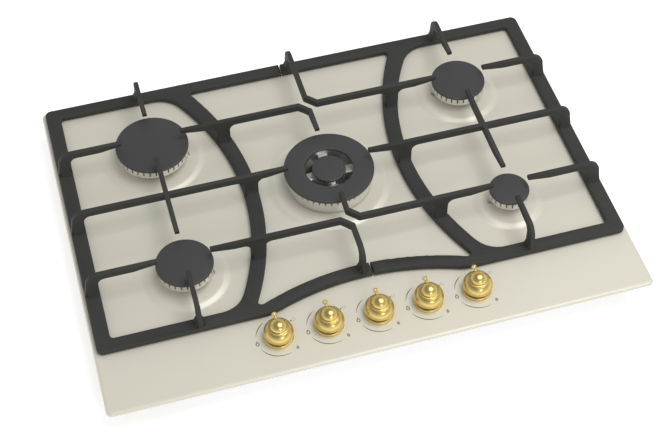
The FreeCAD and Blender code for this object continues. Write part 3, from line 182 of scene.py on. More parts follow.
def ring_edges(bm, centre, radius, z):
    """The edges of the circle at that radius and height above the plate, in mm."""
    found = []
    for edge in bm.edges:
        if all(abs(v.co.z - PLATE_Z - z * MM) < NEAR
               and abs((v.co - centre).xy.length - radius * MM) < NEAR for v in edge.verts):
            found.append(edge)
    return found


def arc(start, through, end, count):
    """Points of the arc through three (radius, height) points, both ends included."""
    (ax, ay), (bx, by), (cx, cy) = start, through, end
    d = 2 * (ax * (by - cy) + bx * (cy - ay) + cx * (ay - by))
    a2, b2, c2 = ax * ax + ay * ay, bx * bx + by * by, cx * cx + cy * cy
    ux = (a2 * (by - cy) + b2 * (cy - ay) + c2 * (ay - by)) / d
    uy = (a2 * (cx - bx) + b2 * (ax - cx) + c2 * (bx - ax)) / d
    radius = math.hypot(ax - ux, ay - uy)
    first = math.atan2(ay - uy, ax - ux)
    mid = (math.atan2(by - uy, bx - ux) - first) % FULL_TURN
    last = (math.atan2(cy - uy, cx - ux) - first) % FULL_TURN
    if mid > last:
        last -= FULL_TURN
    turns = [first + last * i / count for i in range(count + 1)]
    return [(ux + radius * math.cos(t), uy + radius * math.sin(t)) for t in turns]


def mark_axis(mesh, centre_of):
    """Stores each point's place from its own turning axis, for the turned finishes."""
    attribute = mesh.attributes.new("about_axis", "FLOAT_VECTOR", "POINT")
    for i, vert in enumerate(mesh.vertices):
        attribute.data[i].vector = vert.co - centre_of(vert.co)


def new_piece(bm, name, node, centre_of=None, finish=None, smooth=35.0, stands_for=True):
    """Makes the bmesh a piece on the node's body, in the node's finish and in the node's place."""
    mesh = bpy.data.meshes.new(name)
    bm.to_mesh(mesh)
    bm.free()
    mesh.shade_smooth()
    mesh.set_sharp_from_angle(angle=math.radians(smooth))
    if centre_of is not None:
        mark_axis(mesh, centre_of)
    piece = bpy.data.objects.new(name, mesh)
    bpy.context.scene.collection.objects.link(piece)
    mesh.materials.append(bpy.data.materials[finish or SLOT_OF[node]])
    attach(piece, BODY_OF[node])
    if stands_for:
        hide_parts(node)


def dressed_copy(node, name, edge):
    """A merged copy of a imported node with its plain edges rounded."""
    bm = bmesh.new()
    bm.from_mesh(frame["nodes"][node].data)
    bmesh.ops.remove_doubles(bm, verts=bm.verts, dist=SAME)
    bmesh.ops.dissolve_limit(bm, angle_limit=math.radians(FLAT), verts=bm.verts, edges=bm.edges,
                             use_dissolve_boundaries=False)
    soften(bm, sharp_edges(bm, PLAIN_EDGE), edge)
    new_piece(bm, name, node)


# --- Shader groups ------------------------------------------------------------------------------
def add(tree, kind, inputs=None, **settings):
    """Adds a shader node; inputs gives a value or a feeding socket for each input."""
    made = tree.nodes.new(kind)
    for key, value in settings.items():
        setattr(made, key, value)
    for key, value in (inputs or {}).items():
        socket = made.inputs[key]
        if isinstance(value, bpy.types.NodeSocket):
            tree.links.new(value, socket)
        else:
            socket.default_value = value
    return made


def new_group(name, inputs, outputs):
    """An empty shader group with named sockets; gives its tree, its input node and its output node."""
    tree = bpy.data.node_groups.new(name, "ShaderNodeTree")
    for label, kind, value in inputs:
        socket = tree.interface.new_socket(label, in_out="INPUT", socket_type="NodeSocket" + kind)
        if value is not None:
            socket.default_value = value
    for label, kind in outputs:
        tree.interface.new_socket(label, in_out="OUTPUT", socket_type="NodeSocket" + kind)
    return tree, tree.nodes.new("NodeGroupInput").outputs, tree.nodes.new("NodeGroupOutput").inputs


def group_mottle():
    """Two colours that drift into each other in soft patches."""
    tree, given, out = new_group(
        "Mottle", [("Vector", "Vector", None), ("Scale", "Float", 30.0), ("Colour", "Color", None),
                   ("Second", "Color", None)], [("Colour", "Color"), ("Mask", "Float")])
    noise = add(tree, "ShaderNodeTexNoise", {"Vector": given["Vector"], "Scale": given["Scale"],
                                             "Detail": 5.0, "Roughness": 0.6})
    mask = add(tree, "ShaderNodeMapRange", {"Value": noise.outputs["Fac"], "From Min": 0.35,
                                            "From Max": 0.65})
    mix = add(tree, "ShaderNodeMix", {0: mask.outputs[0], 6: given["Colour"], 7: given["Second"]},
              data_type="RGBA")
    tree.links.new(mix.outputs[2], out["Colour"])
    tree.links.new(mask.outputs[0], out["Mask"])


def group_grain():
    """Fine and coarse grain of a coated or cast surface, as a height."""
    tree, given, out = new_group(
        "Grain", [("Vector", "Vector", None), ("Scale", "Float", 900.0), ("Coarse", "Float", 0.3)],
        [("Height", "Float")])
    fine = add(tree, "ShaderNodeTexNoise", {"Vector": given["Vector"], "Scale": given["Scale"],
                                            "Detail": 3.0})
    wide = add(tree, "ShaderNodeMath", {0: given["Scale"], 1: 0.12}, operation="MULTIPLY")
    coarse = add(tree, "ShaderNodeTexNoise", {"Vector": given["Vector"], "Scale": wide.outputs[0],
                                              "Detail": 2.0})
    mix = add(tree, "ShaderNodeMix", {0: given["Coarse"], 2: fine.outputs["Fac"], 3: coarse.outputs["Fac"]})
    tree.links.new(mix.outputs[0], out["Height"])


def group_turning():
    """Fine rings left by a lathe, or by brushing a piece as it turns."""
    tree, given, out = new_group(
        "Turning", [("Vector", "Vector", None), ("Rings", "Float", 1800.0)], [("Height", "Float")])
    parts = add(tree, "ShaderNodeSeparateXYZ", {0: given["Vector"]})
    flat = add(tree, "ShaderNodeCombineXYZ", {0: parts.outputs[0], 1: parts.outputs[1]})
    radius = add(tree, "ShaderNodeVectorMath", {0: flat.outputs[0]}, operation="LENGTH")
    angle = add(tree, "ShaderNodeMath", {0: parts.outputs[1], 1: parts.outputs[0]}, operation="ARCTAN2")
    slow = add(tree, "ShaderNodeMath", {0: angle.outputs[0], 1: 0.0006}, operation="MULTIPLY")
    place = add(tree, "ShaderNodeCombineXYZ", {0: radius.outputs["Value"], 1: parts.outputs[2],
                                               2: slow.outputs[0]})
    noise = add(tree, "ShaderNodeTexNoise", {"Vector": place.outputs[0], "Scale": given["Rings"],
                                             "Detail": 2.0})
    tree.links.new(noise.outputs["Fac"], out["Height"])


def group_wear():
    """Edges that stand out, broken up by a grain."""
    tree, given, out = new_group(
        "Edge Wear", [("Vector", "Vector", None), ("Amount", "Float", 0.5)], [("Mask", "Float")])
    shape = add(tree, "ShaderNodeNewGeometry")
    edge = add(tree, "ShaderNodeMapRange", {"Value": shape.outputs["Pointiness"], "From Min": 0.52,
                                            "From Max": 0.62})
    noise = add(tree, "ShaderNodeTexNoise", {"Vector": given["Vector"], "Scale": 160.0, "Detail": 4.0})
    spots = add(tree, "ShaderNodeMapRange", {"Value": noise.outputs["Fac"], "From Min": 0.4, "From Max": 0.6})
    both = add(tree, "ShaderNodeMath", {0: edge.outputs[0], 1: spots.outputs[0]}, operation="MULTIPLY")
    mask = add(tree, "ShaderNodeMath", {0: both.outputs[0], 1: given["Amount"]}, operation="MULTIPLY")
    tree.links.new(mask.outputs[0], out["Mask"])


def group_gloss():
    """Roughness that drifts between two values, as a wiped surface has."""
    tree, given, out = new_group(
        "Gloss", [("Vector", "Vector", None), ("Scale", "Float", 20.0), ("Low", "Float", 0.2),
                  ("High", "Float", 0.3)], [("Roughness", "Float")])
    noise = add(tree, "ShaderNodeTexNoise", {"Vector": given["Vector"], "Scale": given["Scale"],
                                             "Detail": 4.0, "Roughness": 0.65})
    value = add(tree, "ShaderNodeMapRange", {"Value": noise.outputs["Fac"], "From Min": 0.3, "From Max": 0.7,
                                             "To Min": given["Low"], "To Max": given["High"]})
    tree.links.new(value.outputs[0], out["Roughness"])


def group_spangle():
    """The crystals of galvanised sheet."""
    tree, given, out = new_group(
        "Spangle", [("Vector", "Vector", None), ("Scale", "Float", 120.0), ("Colour", "Color", None),
                    ("Second", "Color", None)], [("Colour", "Color"), ("Mask", "Float")])
    warp = add(tree, "ShaderNodeTexNoise", {"Vector": given["Vector"], "Scale": 60.0, "Detail": 2.0})
    bend = add(tree, "ShaderNodeVectorMath", {0: warp.outputs["Color"], 3: 0.012}, operation="SCALE")
    place = add(tree, "ShaderNodeVectorMath", {0: given["Vector"], 1: bend.outputs[0]}, operation="ADD")
    cells = add(tree, "ShaderNodeTexVoronoi", {"Vector": place.outputs[0], "Scale": given["Scale"]})
    parts = add(tree, "ShaderNodeSeparateColor", {0: cells.outputs["Color"]})
    mix = add(tree, "ShaderNodeMix", {0: parts.outputs[0], 6: given["Colour"], 7: given["Second"]},
              data_type="RGBA")
    tree.links.new(mix.outputs[2], out["Colour"])
    tree.links.new(parts.outputs[1], out["Mask"])


def placed(tree, name, inputs):
    """Places a shared group with its own values and gives its outputs."""
    made = tree.nodes.new("ShaderNodeGroup")
    made.node_tree = bpy.data.node_groups[name]
    for key, value in inputs.items():
        if isinstance(value, bpy.types.NodeSocket):
            tree.links.new(value, made.inputs[key])
        else:
            made.inputs[key].default_value = value
    return made.outputs


def tone(colour, factor, warm=1.0):
    """A lighter or darker tone of a colour, as four numbers."""
    r, g, b = colour[:3]
    return (min(r * factor * warm, 1), min(g * factor, 1), min(b * factor / warm, 1), 1)


def make_finish(name, colour, second=None, patches=30.0, gloss=(0.3, 0.4), gloss_scale=25.0, grain=None,
                turning=None, wear=None, pattern="Mottle", metallic=0.0, coat=0.0, on_axis=False):
    """One procedural material.  grain and turning are (scale, depth in mm); wear is (amount, colour)."""
    material = bpy.data.materials.new(name)
    material.use_nodes = True
    tree = material.node_tree
    shader = tree.nodes["Principled BSDF"]
    shader.inputs["Metallic"].default_value = metallic
    shader.inputs["Coat Weight"].default_value = coat
    shader.inputs["Coat Roughness"].default_value = 0.08
    if on_axis:
        place = add(tree, "ShaderNodeAttribute", attribute_name="about_axis").outputs["Vector"]
    else:
        place = add(tree, "ShaderNodeTexCoord").outputs["Object"]
    first, other = tone(colour, 1.0), second or tone(colour, 0.9)
    tint = placed(tree, pattern, {"Vector": place, "Scale": patches, "Colour": first, "Second": other})
    result = tint["Colour"]
    if wear:
        mask = placed(tree, "Edge Wear", {"Vector": place, "Amount": wear[0]})["Mask"]
        mix = add(tree, "ShaderNodeMix", {0: mask, 6: result, 7: tone(wear[1], 1.0)}, data_type="RGBA")
        result = mix.outputs[2]
    tree.links.new(result, shader.inputs["Base Color"])
    rough = placed(tree, "Gloss", {"Vector": place, "Scale": gloss_scale, "Low": gloss[0], "High": gloss[1]})
    tree.links.new(rough["Roughness"], shader.inputs["Roughness"])
    normal = None
    if grain:
        height = placed(tree, "Grain", {"Vector": place, "Scale": grain[0]})["Height"]
        bump = add(tree, "ShaderNodeBump", {"Strength": 1.0, "Distance": grain[1] * MM, "Height": height})
        normal = bump.outputs["Normal"]
    if turning:
        height = placed(tree, "Turning", {"Vector": place, "Rings": turning[0]})["Height"]
        bump = add(tree, "ShaderNodeBump", {"Strength": 1.0, "Distance": turning[1] * MM, "Height": height})
        if normal:
            tree.links.new(normal, bump.inputs["Normal"])
        normal = bump.outputs["Normal"]
    if normal:
        tree.links.new(normal, shader.inputs["Normal"])
    return material


class HOB_OT_finishes(bpy.types.Operator):
    """Builds the shared shader groups and every material of the hob"""
    bl_idname = "hob.finishes"
    bl_label = "Finishes"

    def execute(self, context):
        colours = context.scene.hob_colours
        for build in (group_mottle, group_grain, group_turning, group_wear, group_gloss, group_spangle):
            build()
        make_finish("enamel", colours.enamel, tone(colours.enamel, 0.975, 1.004), patches=9.0,
                    gloss=(0.20, 0.27), grain=(420.0, 0.012), coat=0.35)
        make_finish("ink", colours.ink, tone(colours.ink, 1.25), patches=300.0, gloss=(0.45, 0.55))
        make_finish("pale_ink", colours.pale_ink, tone(colours.pale_ink, 1.2), patches=300.0,
                    gloss=(0.45, 0.55))
        make_finish("cast_iron", colours.iron, tone(colours.iron, 1.25), patches=45.0, gloss=(0.42, 0.56),
                    gloss_scale=60.0, grain=(700.0, 0.10), wear=(0.5, (0.10, 0.097, 0.092)))
        make_finish("cap_enamel", colours.cap, tone(colours.cap, 1.12), patches=60.0, gloss=(0.42, 0.52),
                    gloss_scale=70.0, grain=(1500.0, 0.03), on_axis=True)
        make_finish("crown_aluminium", colours.aluminium, tone(colours.aluminium, 0.7), patches=90.0,
                    gloss=(0.16, 0.26), gloss_scale=120.0, turning=(2600.0, 0.02), metallic=1.0,
                    on_axis=True)
        make_finish("cup_aluminium", (0.50, 0.49, 0.465), patches=120.0, gloss=(0.40, 0.52),
                    grain=(1400.0, 0.04), metallic=1.0)
        make_finish("knob_brass", colours.brass, tone(colours.brass, 0.82, 1.02), patches=70.0,
                    gloss=(0.15, 0.24), gloss_scale=90.0, turning=(1900.0, 0.012), metallic=1.0,
                    on_axis=True)
        make_finish("tray_steel", (0.52, 0.53, 0.54), tone((0.40, 0.41, 0.42), 1.0), patches=110.0,
                    gloss=(0.42, 0.58), pattern="Spangle", metallic=0.9)
        make_finish("fixings", (0.58, 0.58, 0.56), patches=300.0, gloss=(0.28, 0.4), metallic=1.0)
        make_finish("seal", (0.045, 0.045, 0.046), tone((0.07, 0.07, 0.07), 1.0), patches=900.0,
                    gloss=(0.8, 0.95), grain=(1200.0, 0.25))
        make_finish("feet_rubber", (0.028, 0.028, 0.028), patches=200.0, gloss=(0.6, 0.75),
                    grain=(1600.0, 0.03))
        make_finish("ceramic", (0.82, 0.80, 0.74), patches=150.0, gloss=(0.12, 0.2), coat=0.5)
        make_finish("probe_steel", (0.50, 0.46, 0.40), tone((0.42, 0.33, 0.24), 1.0), patches=160.0,
                    gloss=(0.3, 0.42), metallic=1.0)
        make_finish("valve_brass", (0.62, 0.47, 0.20), tone((0.50, 0.36, 0.14), 1.0), patches=80.0,
                    gloss=(0.3, 0.45), grain=(1100.0, 0.03), metallic=1.0)
        make_finish("pipe_steel", (0.46, 0.47, 0.48), patches=60.0, gloss=(0.3, 0.4),
                    grain=(900.0, 0.02), metallic=1.0)
        make_finish("pipe_aluminium", (0.64, 0.64, 0.63), patches=60.0, gloss=(0.32, 0.45),
                    grain=(900.0, 0.02), metallic=1.0)
        make_finish("module_plastic", (0.030, 0.030, 0.031), patches=200.0, gloss=(0.5, 0.62),
                    grain=(2200.0, 0.04))
        make_finish("gland_plastic", (0.026, 0.026, 0.027), patches=200.0, gloss=(0.4, 0.5),
                    grain=(1800.0, 0.03))
        make_finish("spindle_steel", (0.56, 0.56, 0.55), patches=200.0, gloss=(0.22, 0.32),
                    grain=(1500.0, 0.01), metallic=1.0)
        for node, piece in frame["nodes"].items():
            piece.data.materials.clear()
            piece.data.materials.append(bpy.data.materials[SLOT_OF[node]])
        return {"FINISHED"}


# --- Plate --------------------------------------------------------------------------------------
HOLE_STEP = {"centre": 12.2}       # mm from the cap's radius in to the plate's hole
MOUND_STEP = {"centre": 13.0}      # mm from the cap's radius out to the mound's shoulder


def burner_sizes(name):
    """Middle, cap radius, hole radius and mound radius of a burner, the radii in mm."""
    node = "burner_cap_" + name
    cap = half_width(node) / MM
    return middle_of(node), cap, cap - HOLE_STEP.get(name, 14.0), cap + MOUND_STEP.get(name, 10.0)


class HOB_OT_plate(bpy.types.Operator):
    """Builds the enamelled plate with its pressed rings, holes and rolled edge"""
    bl_idname = "hob.plate"
    bl_label = "Enamelled plate"

    corner = 8.0 * MM
    skirt = 3.7 * MM
    rise = 2.5
    slope = 11.0
    spindle_hole = 6.0 * MM

    def execute(self, context):
        sizes = context.scene.hob_sizes
        bm = bmesh.new()
        size = PLATE_HIGH - PLATE_LOW
        bmesh.ops.create_grid(bm, x_segments=1, y_segments=1, size=0.5)
        bmesh.ops.scale(bm, vec=(size.x, size.y, 1), verts=bm.verts)
        bmesh.ops.translate(bm, vec=(0, 0, PLATE_Z), verts=bm.verts)
        bmesh.ops.bevel(bm, geom=list(bm.verts), offset=self.corner, offset_type="OFFSET", segments=8,
                        profile=0.5, affect="VERTICES", material=-1)
        border = [e for e in bm.edges if e.is_boundary]
        down = bmesh.ops.extrude_edge_only(bm, edges=border)["geom"]
        bmesh.ops.translate(bm, vec=(0, 0, -self.skirt), verts=[v for v in down if hasattr(v, "link_edges")])
        soften(bm, [e for e in bm.edges if all(v.co.z > PLATE_Z - NEAR for v in e.verts)],
               sizes.plate_edge, 5)
        top = max(bm.faces, key=lambda f: f.calc_area())
        bmesh.ops.inset_region(bm, faces=[top], thickness=2 * MM, use_even_offset=True)
        top = max(bm.faces, key=lambda f: f.calc_area())
        rims = list(top.edges)
        bmesh.ops.delete(bm, geom=[top], context="FACES_ONLY")
        for name in SIDE_BURNERS + ("centre",):
            rims += self.mound(bm, *burner_sizes(name), sizes.round_steps)
        for number in KNOBS:
            hole = bmesh.ops.create_circle(bm, segments=32, radius=self.spindle_hole)["verts"]
            spot = middle_of("spindle_%d" % number)
            bmesh.ops.translate(bm, vec=(spot.x, spot.y, PLATE_Z), verts=hole)
            rims += {e for v in hole for e in v.link_edges}
        bmesh.ops.triangle_fill(bm, use_beauty=True, edges=rims, normal=(0, 0, 1))
        bmesh.ops.remove_doubles(bm, verts=bm.verts, dist=SAME)
        bmesh.ops.recalc_face_normals(bm, faces=bm.faces)
        face = max(bm.faces, key=lambda f: f.calc_area())
        if face.normal.z < 0:
            bmesh.ops.reverse_faces(bm, faces=bm.faces)
        bmesh.ops.solidify(bm, geom=bm.faces[:], thickness=sizes.sheet)
        bmesh.ops.recalc_face_normals(bm, faces=bm.faces)
        new_piece(bm, "enamel_plate", "top_panel")
        return {"FINISHED"}

    def mound(self, bm, centre, cap, hole, shoulder, steps):
        """Spins one pressed ring and gives the edges of its outer circle."""
        turns = [i / 10 for i in range(11)]
        slope = [(shoulder + self.slope * t, self.rise * (0.5 + 0.5 * math.cos(math.pi * t))) for t in turns]
        outer = shoulder + self.slope + 2
        before = set(bm.edges)
        turned(bm, [(hole, self.rise), (shoulder - 2, self.rise)] + slope + [(outer, 0)], centre, steps,
               closed=False)
        made = [e for e in bm.edges if e not in before]
        return [e for e in made if e.is_boundary and
                all(abs((v.co - centre).xy.length - outer * MM) < NEAR for v in e.verts)]


class HOB_OT_dial_marks(bpy.types.Operator):
    """Prints the dial marks round each knob: off, large flame, small flame and the arcs between"""
    bl_idname = "hob.dial_marks"
    bl_label = "Dial marks"

    film = 0.05 * MM
    sink = 0.02 * MM
    arcs = ((118, 165, 0.45), (205, 290, 0.36))        # degrees from and to, and where the line is thickest
    off = (27.6, 43.0, 1.0)                            # reach, degrees and radius of the dot
    off_ring = (31.6, 39.5, 2.2)
    large_flame = (28.3, -171.0, 2.5)
    small_flame = (28.6, -50.0, 1.8)

    def execute(self, context):
        sizes = context.scene.hob_sizes
        lines, signs = bmesh.new(), bmesh.new()
        for number in KNOBS:
            spot = middle_of("spindle_%d" % number)
            for start, end, peak in self.arcs:
                self.line(lines, spot, sizes.mark_radius, start, end, peak, sizes.mark_width)
            self.symbol(lines, spot, self.off, 0.0, 0.05)
            self.symbol(signs, spot, self.off_ring, 0.0, 0.86)
            self.symbol(signs, spot, self.large_flame, 0.9, 0.5)
            self.symbol(signs, spot, self.small_flame, 0.9, 0.3)
        for bm, name, finish in ((lines, "dial_lines", "ink"), (signs, "dial_symbols", "pale_ink")):
            tidy(bm)
            new_piece(bm, name, "knob_bezels", finish=finish, stands_for=False)
        return {"FINISHED"}

    def line(self, bm, spot, radius, start, end, peak, width):
        """A printed arc, thickest at its peak and drawn out to both ends."""
        steps = 32
        outer, inner = [], []
        for i in range(steps + 1):
            t = i / steps
            turn = math.radians(start + (end - start) * t)
            rise = t / peak if t < peak else (1 - t) / (1 - peak)
            half = width * (0.22 + 0.78 * math.sin(rise * math.pi / 2)) / 2
            way = Vector((math.cos(turn), math.sin(turn), 0))
            outer.append(spot + way * (radius + half))
            inner.append(spot + way * (radius - half))
        self.printed(bm, outer, inner)

    def symbol(self, bm, spot, place, point, bore):
        """A printed round, drawn out to a flame's point at the back; bore is its open share."""
        reach, degrees, size = place
        turn = math.radians(degrees)
        middle = spot + Vector((math.cos(turn), math.sin(turn), 0)) * reach * MM
        steps = 24
        loop = []
        for i in range(steps + 1):
            t = FULL_TURN * i / steps
            tall = 1 + point * max(math.sin(t), 0) ** 6
            loop.append(Vector((math.cos(t), math.sin(t) * tall, 0)) * size * MM)
        self.printed(bm, [middle + v for v in loop], [middle + v * bore for v in loop])

    def printed(self, bm, outer, inner):
        """A film between two lines of points."""
        rows = []
        low, high = -self.sink, self.film
        for line, height in ((inner, low), (outer, low), (outer, high), (inner, high)):
            rows.append([bm.verts.new((v.x, v.y, PLATE_Z + height)) for v in line])
        rows.append(rows[0])
        for row, following in zip(rows, rows[1:]):
            for a, b, c, d in zip(row, row[1:], following[1:], following):
                bm.faces.new((a, b, c, d))
        if (outer[0] - outer[-1]).length > SAME:
            for end in (0, -1):
                bm.faces.new([row[end] for row in rows[:4]])


# --- Pan supports -------------------------------------------------------------------------------
class HOB_OT_supports(bpy.types.Operator):
    """Dresses the two cast pan supports and their feet"""
    bl_idname = "hob.supports"
    bl_label = "Pan supports"

    def execute(self, context):
        edge = context.scene.hob_sizes.casting_edge
        for side in ("left", "right"):
            dressed_copy("pan_support_" + side, "cast_support_" + side, edge)
            dressed_copy("support_feet_" + side, "rubber_feet_" + side, 0.4 * MM)
        return {"FINISHED"}


# --- Burners ------------------------------------------------------------------------------------
SLOT_COLUMNS = 5                   # a flame slot takes one column of faces in five
SLOT_COUNTS = {"front_left": 28, "rear_left": 36, "rear_right": 28, "front_right": 20, "centre": 44}
INNER_SLOTS = 16
COLLAR_STEP = 9.0                  # from a side burner's cap radius in to the cup's collar, in mm
CENTRE_STEP = 3.2                  # the same for the middle burner's ring
CROWN_WALL = 4.0                   # the slotted wall of a crown, in mm


def ring_order(verts, centre, u, v):
    """Four points in order round their middle, in the plane of u and v."""
    middle = sum((w.co for w in verts), Vector()) / len(verts)
    return sorted(verts, key=lambda w: math.atan2((w.co - middle).dot(v), (w.co - middle).dot(u)))


def cut_slots(bm, centre, count, floor, least=0.0):
    """Opens one column in five of the wall above floor and outside the least radius."""
    steps = SLOT_COLUMNS * count
    columns = {}
    for face in bm.faces:
        middle = face.calc_center_median() - centre
        if min(v.co.z for v in face.verts) > floor - NEAR and middle.xy.length > least:
            column = int(math.atan2(middle.y, middle.x) % FULL_TURN / FULL_TURN * steps)
            if column % SLOT_COLUMNS == SLOT_COLUMNS // 2:
                columns.setdefault(column, []).append(face)
    up = Vector((0, 0, 1))
    for column, faces in columns.items():
        turn = (column + 0.5) / steps * FULL_TURN
        out = Vector((math.cos(turn), math.sin(turn), 0))
        side = Vector((-out.y, out.x, 0))
        verts = {v for f in faces for v in f.verts}
        left = [v for v in verts if (v.co - centre).dot(side) > 0]
        right = [v for v in verts if (v.co - centre).dot(side) < 0]
        base = [v for v in verts if v.co.z < floor + NEAR]
        bmesh.ops.delete(bm, geom=faces, context="FACES_ONLY")
        for group, u, v in ((left, out, up), (right, out, up), (base, out, side)):
            bm.faces.new(ring_order(group, centre, u, v))


def top_above_plate(node):
    """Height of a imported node's top above the plate, in mm."""
    return (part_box(node)[1].z - PLATE_Z) / MM


class HOB_OT_cups(bpy.types.Operator):
    """Turns the cast burner cups with their flanges, ears and injector bosses"""
    bl_idname = "hob.cups"
    bl_label = "Burner cups"

    ear_angles = (-12, 168)
    ear_r, ear_top_r, ear_thick, ear_middle, ear_reach = 5.0, 4.8, 2.0, 3.5, 4.3

    def execute(self, context):
        steps = context.scene.hob_sizes.round_steps
        for name in SIDE_BURNERS + ("centre",):
            node = "burner_cup_" + name
            centre, cap, hole, _ = burner_sizes(name)
            bowl = hole - 0.5
            boss = [(bowl - 3, -12), (6.5, -12), (6.5, -22), (4, -22), (4, -34), (9, -34), (9, -15),
                    (bowl, -15), (bowl, 2.5)]
            if name == "centre":
                profile = [(cap - CENTRE_STEP, 2.5), (cap - CENTRE_STEP, 6.5), (bowl - 3, 6.5)] + boss
            else:
                collar = cap - COLLAR_STEP
                profile = [(collar, 2.5), (collar, 12), (collar - 3, 12), (collar - 3, 4.5),
                           (bowl - 3, 4.5)] + boss
            bm = bmesh.new()
            turned(bm, profile, centre, steps)
            tidy(bm)
            soften(bm, sharp_edges(bm, 50), 0.4 * MM)
            if name != "centre":
                self.ears(bm, centre, (cap - COLLAR_STEP + self.ear_reach) * MM)
            new_piece(bm, "cast_cup_" + name, node)
        return {"FINISHED"}

    def ears(self, bm, centre, reach):
        """Two flat ears that take the screws, from the collar outwards."""
        for degrees in self.ear_angles:
            turn = math.radians(degrees)
            made = bmesh.ops.create_cone(bm, cap_ends=True, segments=32, radius1=self.ear_r * MM,
                                         radius2=self.ear_top_r * MM, depth=self.ear_thick * MM)["verts"]
            height = PLATE_Z + self.ear_middle * MM
            place = centre + Vector((reach * math.cos(turn), reach * math.sin(turn), height))
            bmesh.ops.translate(bm, vec=place, verts=made)


class HOB_OT_crowns(bpy.types.Operator):
    """Turns the machined flame crowns and cuts their slots"""
    bl_idname = "hob.crowns"
    bl_label = "Flame crowns"

    bridges = 4
    bridge_w, bridge_h, bridge_middle = 13.0, 14.5, 11.75

    def execute(self, context):
        depth = context.scene.hob_sizes.slot_depth / MM
        for name in SIDE_BURNERS:
            node = "flame_crown_" + name
            centre, cap, _, _ = burner_sizes(name)
            top = top_above_plate(node)
            outer, collar = cap - 1.2, cap - COLLAR_STEP
            inner, spigot = outer - CROWN_WALL, collar - 3.15
            floor = top - depth
            profile = [(7.5, 7), (7.5, 14.2), (inner, 15.2), (inner, floor), (inner, top), (outer, top),
                       (outer, floor), (outer, 14.6), (outer - 0.4, 14.2), (collar, 12.2), (collar, 12),
                       (spigot, 12), (spigot, 7), (spigot - 2, 7), (spigot - 2, 11), (9.5, 11), (9.5, 7)]
            bm = bmesh.new()
            turned(bm, profile, centre, SLOT_COLUMNS * SLOT_COUNTS[name])
            tidy(bm)
            cut_slots(bm, centre, SLOT_COUNTS[name], PLATE_Z + floor * MM)
            tidy(bm)
            new_piece(bm, "crown_" + name, node, lambda co, c=centre: c)
        self.centre_crown(depth)
        return {"FINISHED"}

    def centre_crown(self, depth):
        """The middle burner's ring chamber, inner ring and bridges."""
        node = "flame_crown_centre"
        centre, cap, hole, _ = burner_sizes("centre")
        top = top_above_plate(node)
        outer, spigot = cap - CENTRE_STEP, hole - 3.65
        floor = top - depth
        ring_in, core, core_top = 33.5, 21.4, top - 1.5
        bm = bmesh.new()
        wall = outer - CROWN_WALL
        turned(bm, [(outer, 6.5), (outer, floor), (outer, top), (wall, top), (wall, floor), (wall, 9.7),
                    (ring_in + 3, 9.7), (ring_in + 3, top), (ring_in, top), (ring_in, 4.5),
                    (spigot, 4.5), (spigot, 6.5)], centre, SLOT_COLUMNS * SLOT_COUNTS["centre"])
        tidy(bm)
        cut_slots(bm, centre, SLOT_COUNTS["centre"], PLATE_Z + floor * MM, (outer - 5) * MM)
        inner = bmesh.new()
        inner_floor = core_top - depth
        turned(inner, [(7.5, 4.5), (7.5, 13.7), (core - 3, 13.7), (core - 3, inner_floor + 0.4),
                       (core - 3, core_top), (core, core_top), (core, inner_floor + 0.4), (core, 4.5)],
               centre, SLOT_COLUMNS * INNER_SLOTS)
        tidy(inner)
        cut_slots(inner, centre, INNER_SLOTS, PLATE_Z + (inner_floor + 0.4) * MM, 10 * MM)
        spare = bpy.data.meshes.new("inner_ring")
        inner.to_mesh(spare)
        inner.free()
        bm.from_mesh(spare)
        bpy.data.meshes.remove(spare)
        for i in range(self.bridges):
            self.bridge(bm, centre, i * FULL_TURN / self.bridges, core - 1, ring_in + 1)
        tidy(bm)
        new_piece(bm, "crown_centre", node, lambda co: centre)

    def bridge(self, bm, centre, turn, start, end):
        """One gas way between the two rings."""
        made = bmesh.ops.create_cube(bm, size=1)["verts"]
        bmesh.ops.scale(bm, vec=((end - start) * MM, self.bridge_w * MM, self.bridge_h * MM), verts=made)
        height = PLATE_Z + self.bridge_middle * MM
        bmesh.ops.translate(bm, vec=((start + end) / 2 * MM, 0, height), verts=made)
        bmesh.ops.rotate(bm, cent=(0, 0, 0), matrix=Matrix.Rotation(turn, 3, "Z"), verts=made)
        bmesh.ops.translate(bm, vec=centre, verts=made)
        edges = {e for v in made for e in v.link_edges if min(w.co.z for w in e.verts) > PLATE_Z + 10 * MM}
        soften(bm, list(edges), 1.2 * MM, 3)


class HOB_OT_caps(bpy.types.Operator):
    """Turns the enamelled burner caps, the ring cap and the inner cap of the middle burner"""
    bl_idname = "hob.caps"
    bl_label = "Burner caps"

    thickness = 3.0
    rim_depth = 3.5
    rim_width = 2.0
    rim_step = {"centre_inner": 5.5, "centre": 8.7}    # from the cap's radius in to its rim
    side_rim_step = 6.7
    ring_hole = 32.0

    def execute(self, context):
        sizes = context.scene.hob_sizes
        for name in SIDE_BURNERS + ("centre_inner", "centre"):
            node = "burner_cap_" + name
            centre, radius = middle_of(node), half_width(node) / MM
            top = top_above_plate(node)
            low = top - self.thickness
            rim = radius - self.rim_step.get(name, self.side_rim_step)
            under = [(radius, low), (rim, low), (rim, low - self.rim_depth),
                     (rim - self.rim_width, low - self.rim_depth), (rim - self.rim_width, low)]
            bm = bmesh.new()
            hole = self.ring_hole if name == "centre" else 0
            turned(bm, [(hole, top), (radius, top)] + under + [(hole, low)], centre, sizes.round_steps)
            tidy(bm)
            rounded = ring_edges(bm, centre, radius, top)
            if name == "centre":
                rounded += ring_edges(bm, centre, hole, top)
            soften(bm, rounded, sizes.cap_edge, 5)
            soften(bm, sharp_edges(bm, 60), 0.25 * MM)
            new_piece(bm, "cap_" + name, node, lambda co, c=centre: c)
        return {"FINISHED"}


